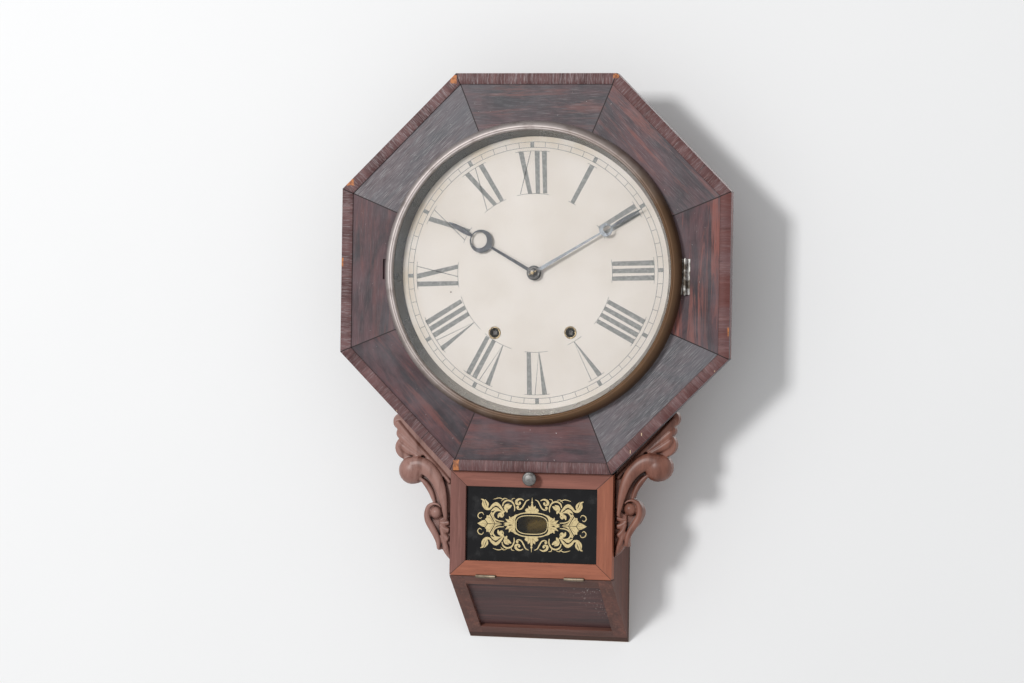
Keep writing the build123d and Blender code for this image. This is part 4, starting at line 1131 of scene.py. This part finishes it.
# A quarter of the tablet's ornament. Each mark of a stroke has its x, its z and its width.
QUARTER_STROKES = (
    # Corner leaf
    ((31.0, 12.5, 1.0), (34.5, 17.5, 2.4), (39.5, 21.6, 3.8), (44, 19.6, 2.8), (47, 16.2, 2.2),
     (50.8, 16.6, 3.6), (53.6, 20.4, 4.4), (54.2, 25.0, 2.4), (57.0, 26.6, 0.5)),
    ((35.5, 14.6, 0.8), (40.5, 16.4, 3.4), (45.6, 13.6, 0.6)),
    ((49.5, 18.0, 1.0), (49.6, 22.0, 2.4), (52.6, 26.2, 0.5)),
    # Side scroll with its leaf
    ((31.0, 2.9, 0.8), (37, 3.4, 1.2), (41.6, 5.8, 1.5), (43.2, 10.0, 1.7), (40.6, 13.8, 1.7),
     (36, 14.6, 1.5), (32.6, 12.6, 1.2), (31.6, 9.4, 1.0), (33.4, 7.2, 0.9)),
    ((37.6, 6.4, 0.6), (36.6, 9.6, 3.2), (33.6, 11.6, 3.0), (30.0, 14.4, 0.8)),
    # Scrolls above and below the window
    ((3.2, 27.4, 0.7), (6.6, 25.6, 1.1), (8.8, 21.6, 1.4), (11.6, 17.4, 1.4), (15.4, 16.6, 1.2),
     (17.0, 18.9, 1.0), (15.2, 20.3, 0.8)),
    ((9.2, 26.4, 0.8), (12.8, 27.8, 1.6), (16.8, 26.2, 2.6), (17.4, 22.9, 2.8), (14.6, 21.6, 1.4),
     (12.6, 23.0, 1.0)),
    ((19.6, 14.4, 0.9), (19.4, 19.2, 1.4), (22.2, 24.2, 1.6), (27.4, 25.8, 1.7), (31.6, 23.4, 1.5),
     (32.8, 19.4, 1.0)),
    ((22.6, 20.6, 0.8), (25.4, 19.0, 3.6), (28.8, 16.8, 4.2), (27.6, 12.8, 1.2)),
    ((25.2, 21.8, 0.8), (29.0, 20.6, 2.0), (31.2, 17.2, 0.7)),
    # Fine curls
    ((19.0, 28.4, 0.4), (22.0, 27.6, 0.9), (22.6, 25.0, 0.5)),
    ((31.0, 26.2, 0.4), (36.4, 28.2, 1.0), (43.0, 26.6, 0.4)),
    ((27.6, 27.4, 0.4), (31.4, 27.8, 0.9), (34.2, 24.8, 0.4)),
    ((53.6, 9.2, 0.4), (55.4, 11.8, 0.9), (58.8, 11.0, 1.1), (60.2, 7.8, 1.0), (58.0, 5.4, 0.9),
     (55.8, 6.6, 0.5)),
    # The window's corner scroll
    ((15.6, 10.8, 0.7), (18.6, 9.4, 1.6), (20.6, 6.6, 1.6), (19.6, 4.6, 0.8)),
    # Finial over the shell
    ((0.0, 21.0, 1.6), (0.0, 25.0, 1.0), (0.0, 29.6, 0.4)),
)
QUARTER_LOBES = (
    # End leaf
    ((49.6, 0.15), (52.4, 3.9), (55.6, 3.1), (60.8, 0.0)),
    ((41.4, 0.3), (45.4, 7.2), (47.3, 10.2), (47.8, 8.7), (50.4, 9.0), (50.6, 6.2), (52.2, 4.8),
     (48.9, 0.3)),
    ((33.0, 0.4), (38.6, 1.6), (42.8, 6.2), (43.9, 12.2), (45.4, 13.0), (46.5, 10.8), (44.4, 7.4),
     (40.6, 0.3)),
    # Bar under the shell
    ((0.0, 12.6), (6.8, 12.2), (7.4, 13.6), (5.4, 14.6), (0.0, 14.8)),
)
QUARTER_VEINS = (
    ((20.8, 1.2), (29.2, 1.9)),
    ((20.4, 2.6), (27.8, 5.4)),
    ((19.8, 3.6), (25.0, 8.8)),
    ((0.9, 14.8), (1.4, 20.8)),
    ((2.2, 14.8), (4.6, 19.2)),
    ((35.0, 1.2), (40.0, 2.4), (43.8, 8.6), (45.0, 11.6)),
    ((42.8, 1.0), (46.4, 5.8), (49.0, 7.4)),
    ((50.4, 1.0), (53.4, 2.2)),
    ((36.4, 18.6), (40.2, 20.0), (43.6, 18.0)),
    ((52.4, 18.2), (53.9, 21.4), (54.4, 24.6)),
)
QUARTER_DOTS = (
    (33.9, 8.6, 1.5),
    (15.6, 18.7, 1.2),
    (13.6, 23.6, 1.3),
    (6.2, 15.8, 1.4),
    (19.0, 7.2, 1.2),
    (0.0, 24.4, 1.1),
)
# Fans of leaves, each with its root, a leaf's width, and the leaves' angles and lengths
QUARTER_LEAVES = (
    ((20.2, 0.3), 4.9, ((4, 11.4), (30, 11.0), (57, 10.0), (84, 8.0))),
    ((0.2, 14.0), 4.2, ((88, 9.0), (60, 8.0), (32, 7.4))),
)
# A leaf's half width along its length
LEAF = ((0.0, 0.12), (0.12, 0.62), (0.3, 1.0), (0.5, 0.86), (0.72, 0.5), (0.88, 0.2), (1.0, 0.0))
QUARTERS = ((-1, -1), (-1, 1), (1, -1), (1, 1))
# Each gold shape lies this much in front of the last one
GOLD_STEP = 0.008


def leaf_shape(at, angle, length, width):
    """A pointed leaf as an outline of x and z, with its root at a place."""
    along = Vector((cos(radians(angle)), sin(radians(angle))))
    side = Vector((-along.y, along.x))
    edge = [*LEAF, *((share, -half) for share, half in LEAF[-2::-1])]
    outline = []
    for share, half in edge:
        outline.append(tuple(Vector(at) + along * share * length + side * (half * width / 2)))
    return outline


def quarter_ornament():
    """One quarter of the tablet's ornament, as ribbons and as flat outlines."""
    ribbons = []
    for marks in QUARTER_STROKES:
        line = curve_points(marks, 8)
        ribbons.append(([point[:2] for point in line], [max(point[2], 0.2) for point in line]))
    outlines = list(QUARTER_LOBES)
    outlines.append([(18.4, 0.0), *oval((18.4, 0.0), 9.0, 9.0, pi / 16, 9)])
    outlines.append([(0.0, 13.6), *oval((0.0, 13.6), 6.2, 6.6, pi / 16, 9)])
    for root, width, leaves in QUARTER_LEAVES:
        outlines += [leaf_shape(root, angle, length, width) for angle, length in leaves]
    outlines += [oval((x, z), radius, radius, pi / 8, 16) for x, z, radius in QUARTER_DOTS]
    return ribbons, outlines


def in_quarter(quarter, line):
    """A line of one quarter of the tablet, moved to any of the four."""
    side, rise = quarter
    return [(TABLET_MIDDLE[0] + side * x, TABLET_MIDDLE[1] + rise * z) for x, z in line]


def rounded_ring(half_x, half_z, steps=96):
    """A squarish oval about the tablet's middle, as a closed line."""
    line = []
    for number in range(steps + 1):
        angle = 2 * pi * number / steps
        x = half_x * copysign(abs(cos(angle)) ** 0.667, cos(angle))
        z = half_z * copysign(abs(sin(angle)) ** 0.667, sin(angle))
        line.append((TABLET_MIDDLE[0] + x, TABLET_MIDDLE[1] + z))
    return line


def tablet_ornament():
    """Gold scrollwork on the glass, the same in all four quarters."""
    front = TABLET_FRONT_Y - 0.05
    back = TABLET_FRONT_Y + 0.02
    ribbons, outlines = quarter_ornament()
    parts = []
    veins = []
    for quarter in QUARTERS:
        level = front - 0.002 * quarter[0] - 0.004 * quarter[1]
        for line, widths in ribbons:
            level -= GOLD_STEP
            parts.append(strip(in_quarter(quarter, line), widths, level, back))
        for outline in outlines:
            level -= GOLD_STEP
            parts.append(slab(in_quarter(quarter, outline), level, back))
        for marks in QUARTER_VEINS:
            line = in_quarter(quarter, marks)
            veins.append(strip(line, [0.34] * len(line), front - 0.36, front))
    for half_x, half_z, width in ((17.4, 10.0, 0.9), (20.0, 12.9, 1.2)):
        line = rounded_ring(half_x, half_z)
        parts.append(strip(line, [width] * len(line), front - 0.35, back))
    made("tablet_scrollwork", joined(*parts), gold_leaf, "lower_door")
    made("tablet_engraving", joined(*veins), old_brass, "lower_door")


# Pendulum and gong
def bob():
    back = BOB_Y + BOB_HALF_T - 0.4
    profile = [(0.05, back), (20.6, back), (22.2, BOB_Y + 2.2), (22.9, BOB_Y)]
    for number in range(9):
        turn = number / 8 * pi / 2
        y = BOB_Y - 0.6 - (BOB_HALF_T - 0.6) * sin(turn) ** 0.8
        profile.append((max(22.6 * cos(turn), 0.05), y))
    mesh = joined(turned(profile, BOB_AT, 96))
    return made("brass_bob", mesh, bob_brass, "pendulum", ["pendulum_bob"])


def gong_wire():
    """The gong's wire, wound round and round in one plane."""
    outer, inner, turns, count = 44.0, 8.4, 2.45, 56
    marks = []
    for number in range(count + 1):
        share = number / count
        radius = outer + (7.0 - outer) * share * turns / 2.5
        x, z = polar(radius, -60 + 360 * turns * share)
        if radius > inner:
            marks.append((GONG_AT[0] + x, GONG_Y, GONG_AT[1] + z))
    wire = joined(tube(marks, [1.0] * len(marks), steps=2, sides=10))
    return made("gong_wire", wire, dark_steel, "case", ["gong_coil"])


sash_ring()
sash_cone()
dial_numerals()
minute_track()
grommets()
small_screws("dial_screws", [polar(151.2, angle) for angle in (45, 135, 225, 315)], DIAL_Y, 2.0)
hinge_screw_places = [(169.3, z) for z in (-17.5, -2.0, 13.5)]
small_screws("sash_hinge_screws", hinge_screw_places, FACE_Y - 0.35, 1.1, 0.35)
small_screws("hanger_screws", [(0.0, z) for z in (134.4, 165.6)], -1.4, 3.4, -1.2)
hand_collet()
taper_pin()
ears()
knob()
tablet_ornament()
bob()
gong_wire()


# Wall, light and camera
def wall():
    reach = 6.0
    mesh = bpy.data.meshes.new("wall")
    corners = [(x * reach, 0.001, z * reach) for x, z in ((-1, -1), (1, -1), (1, 1), (-1, 1))]
    mesh.from_pydata(corners, [], [(0, 1, 2, 3)])
    plane = linked("wall", mesh)
    finish = Finish("white_wall", Roughness=0.85, Specular_IOR_Level=0.2)
    cloud = finish.noise(2.2, detail=5)
    finish.colour = finish.blend(cloud, (0.90, 0.90, 0.90), (0.86, 0.86, 0.86))
    finish.bump(finish.noise(40, detail=6), 0.10, 0.002)
    shadow = finish.add("ShaderNodeLightPath").outputs["Is Shadow Ray"]
    behind = finish.add("ShaderNodeNewGeometry").outputs["Backfacing"]
    share = finish.sum("MAXIMUM", behind, shadow)
    clear = finish.add("ShaderNodeBsdfTransparent").outputs[0]
    mesh.materials.append(finish.done(finish.mixed(share, finish.shader.outputs[0], clear)))


def lamp(name, place, target, power, size):
    data = bpy.data.lights.new(name, "AREA")
    data.energy = power
    data.size = size
    light = linked(name, data)
    light.location = place
    aim = Vector(target) - Vector(place)
    light.rotation_mode = "QUATERNION"
    light.rotation_quaternion = aim.to_track_quat("-Z", "Y")


def studio():
    target = Vector((0, 0, -0.1))
    across, above, far = radians(22), radians(15), 4.0
    way = Vector((-sin(across) * cos(above), -cos(across) * cos(above), sin(above)))
    lamp("key_light", target + far * way, target, 83.0, 0.6)
    lamp("back_light", (0.3, 3.5, 0.8), target, 25.0, 1.6)
    world = bpy.data.worlds.new("studio")
    bpy.context.scene.world = world
    world.use_nodes = True
    nodes = Nodes(world.node_tree)
    light = world.node_tree.nodes["Background"]
    nodes.put(light.inputs["Color"], (0.98, 0.99, 1.0))
    nodes.put(light.inputs["Strength"], 0.56)
    shown = nodes.add("ShaderNodeBackground", Color=(0.9, 0.9, 0.9), Strength=0.9)
    paths = nodes.add("ShaderNodeLightPath").outputs
    seen = paths["Is Camera Ray"]
    for kind in ("Is Glossy Ray", "Is Transmission Ray"):
        seen = nodes.sum("MAXIMUM", seen, paths[kind])
    surface = nodes.mixed(seen, light.outputs[0], shown.outputs[0])
    nodes.put(world.node_tree.nodes["World Output"].inputs[0], surface)
    bpy.context.scene.view_settings.view_transform = "Standard"


def camera():
    data = bpy.data.cameras.new("camera")
    data.lens = 116.1
    data.sensor_width = 36.0
    data.clip_end = 50.0
    eye = linked("camera", data)
    turn = Matrix.Identity(4)
    for angle, axis in ((13.54, "Z"), (-0.79, "X"), (-0.87, "Y"), (90.0, "X")):
        turn = turn @ Matrix.Rotation(radians(angle), 4, axis)
    eye.matrix_world = Matrix.Translation((0.8121, -3.5696, -0.0252)) @ turn
    bpy.context.scene.camera = eye


wall()
studio()
camera()
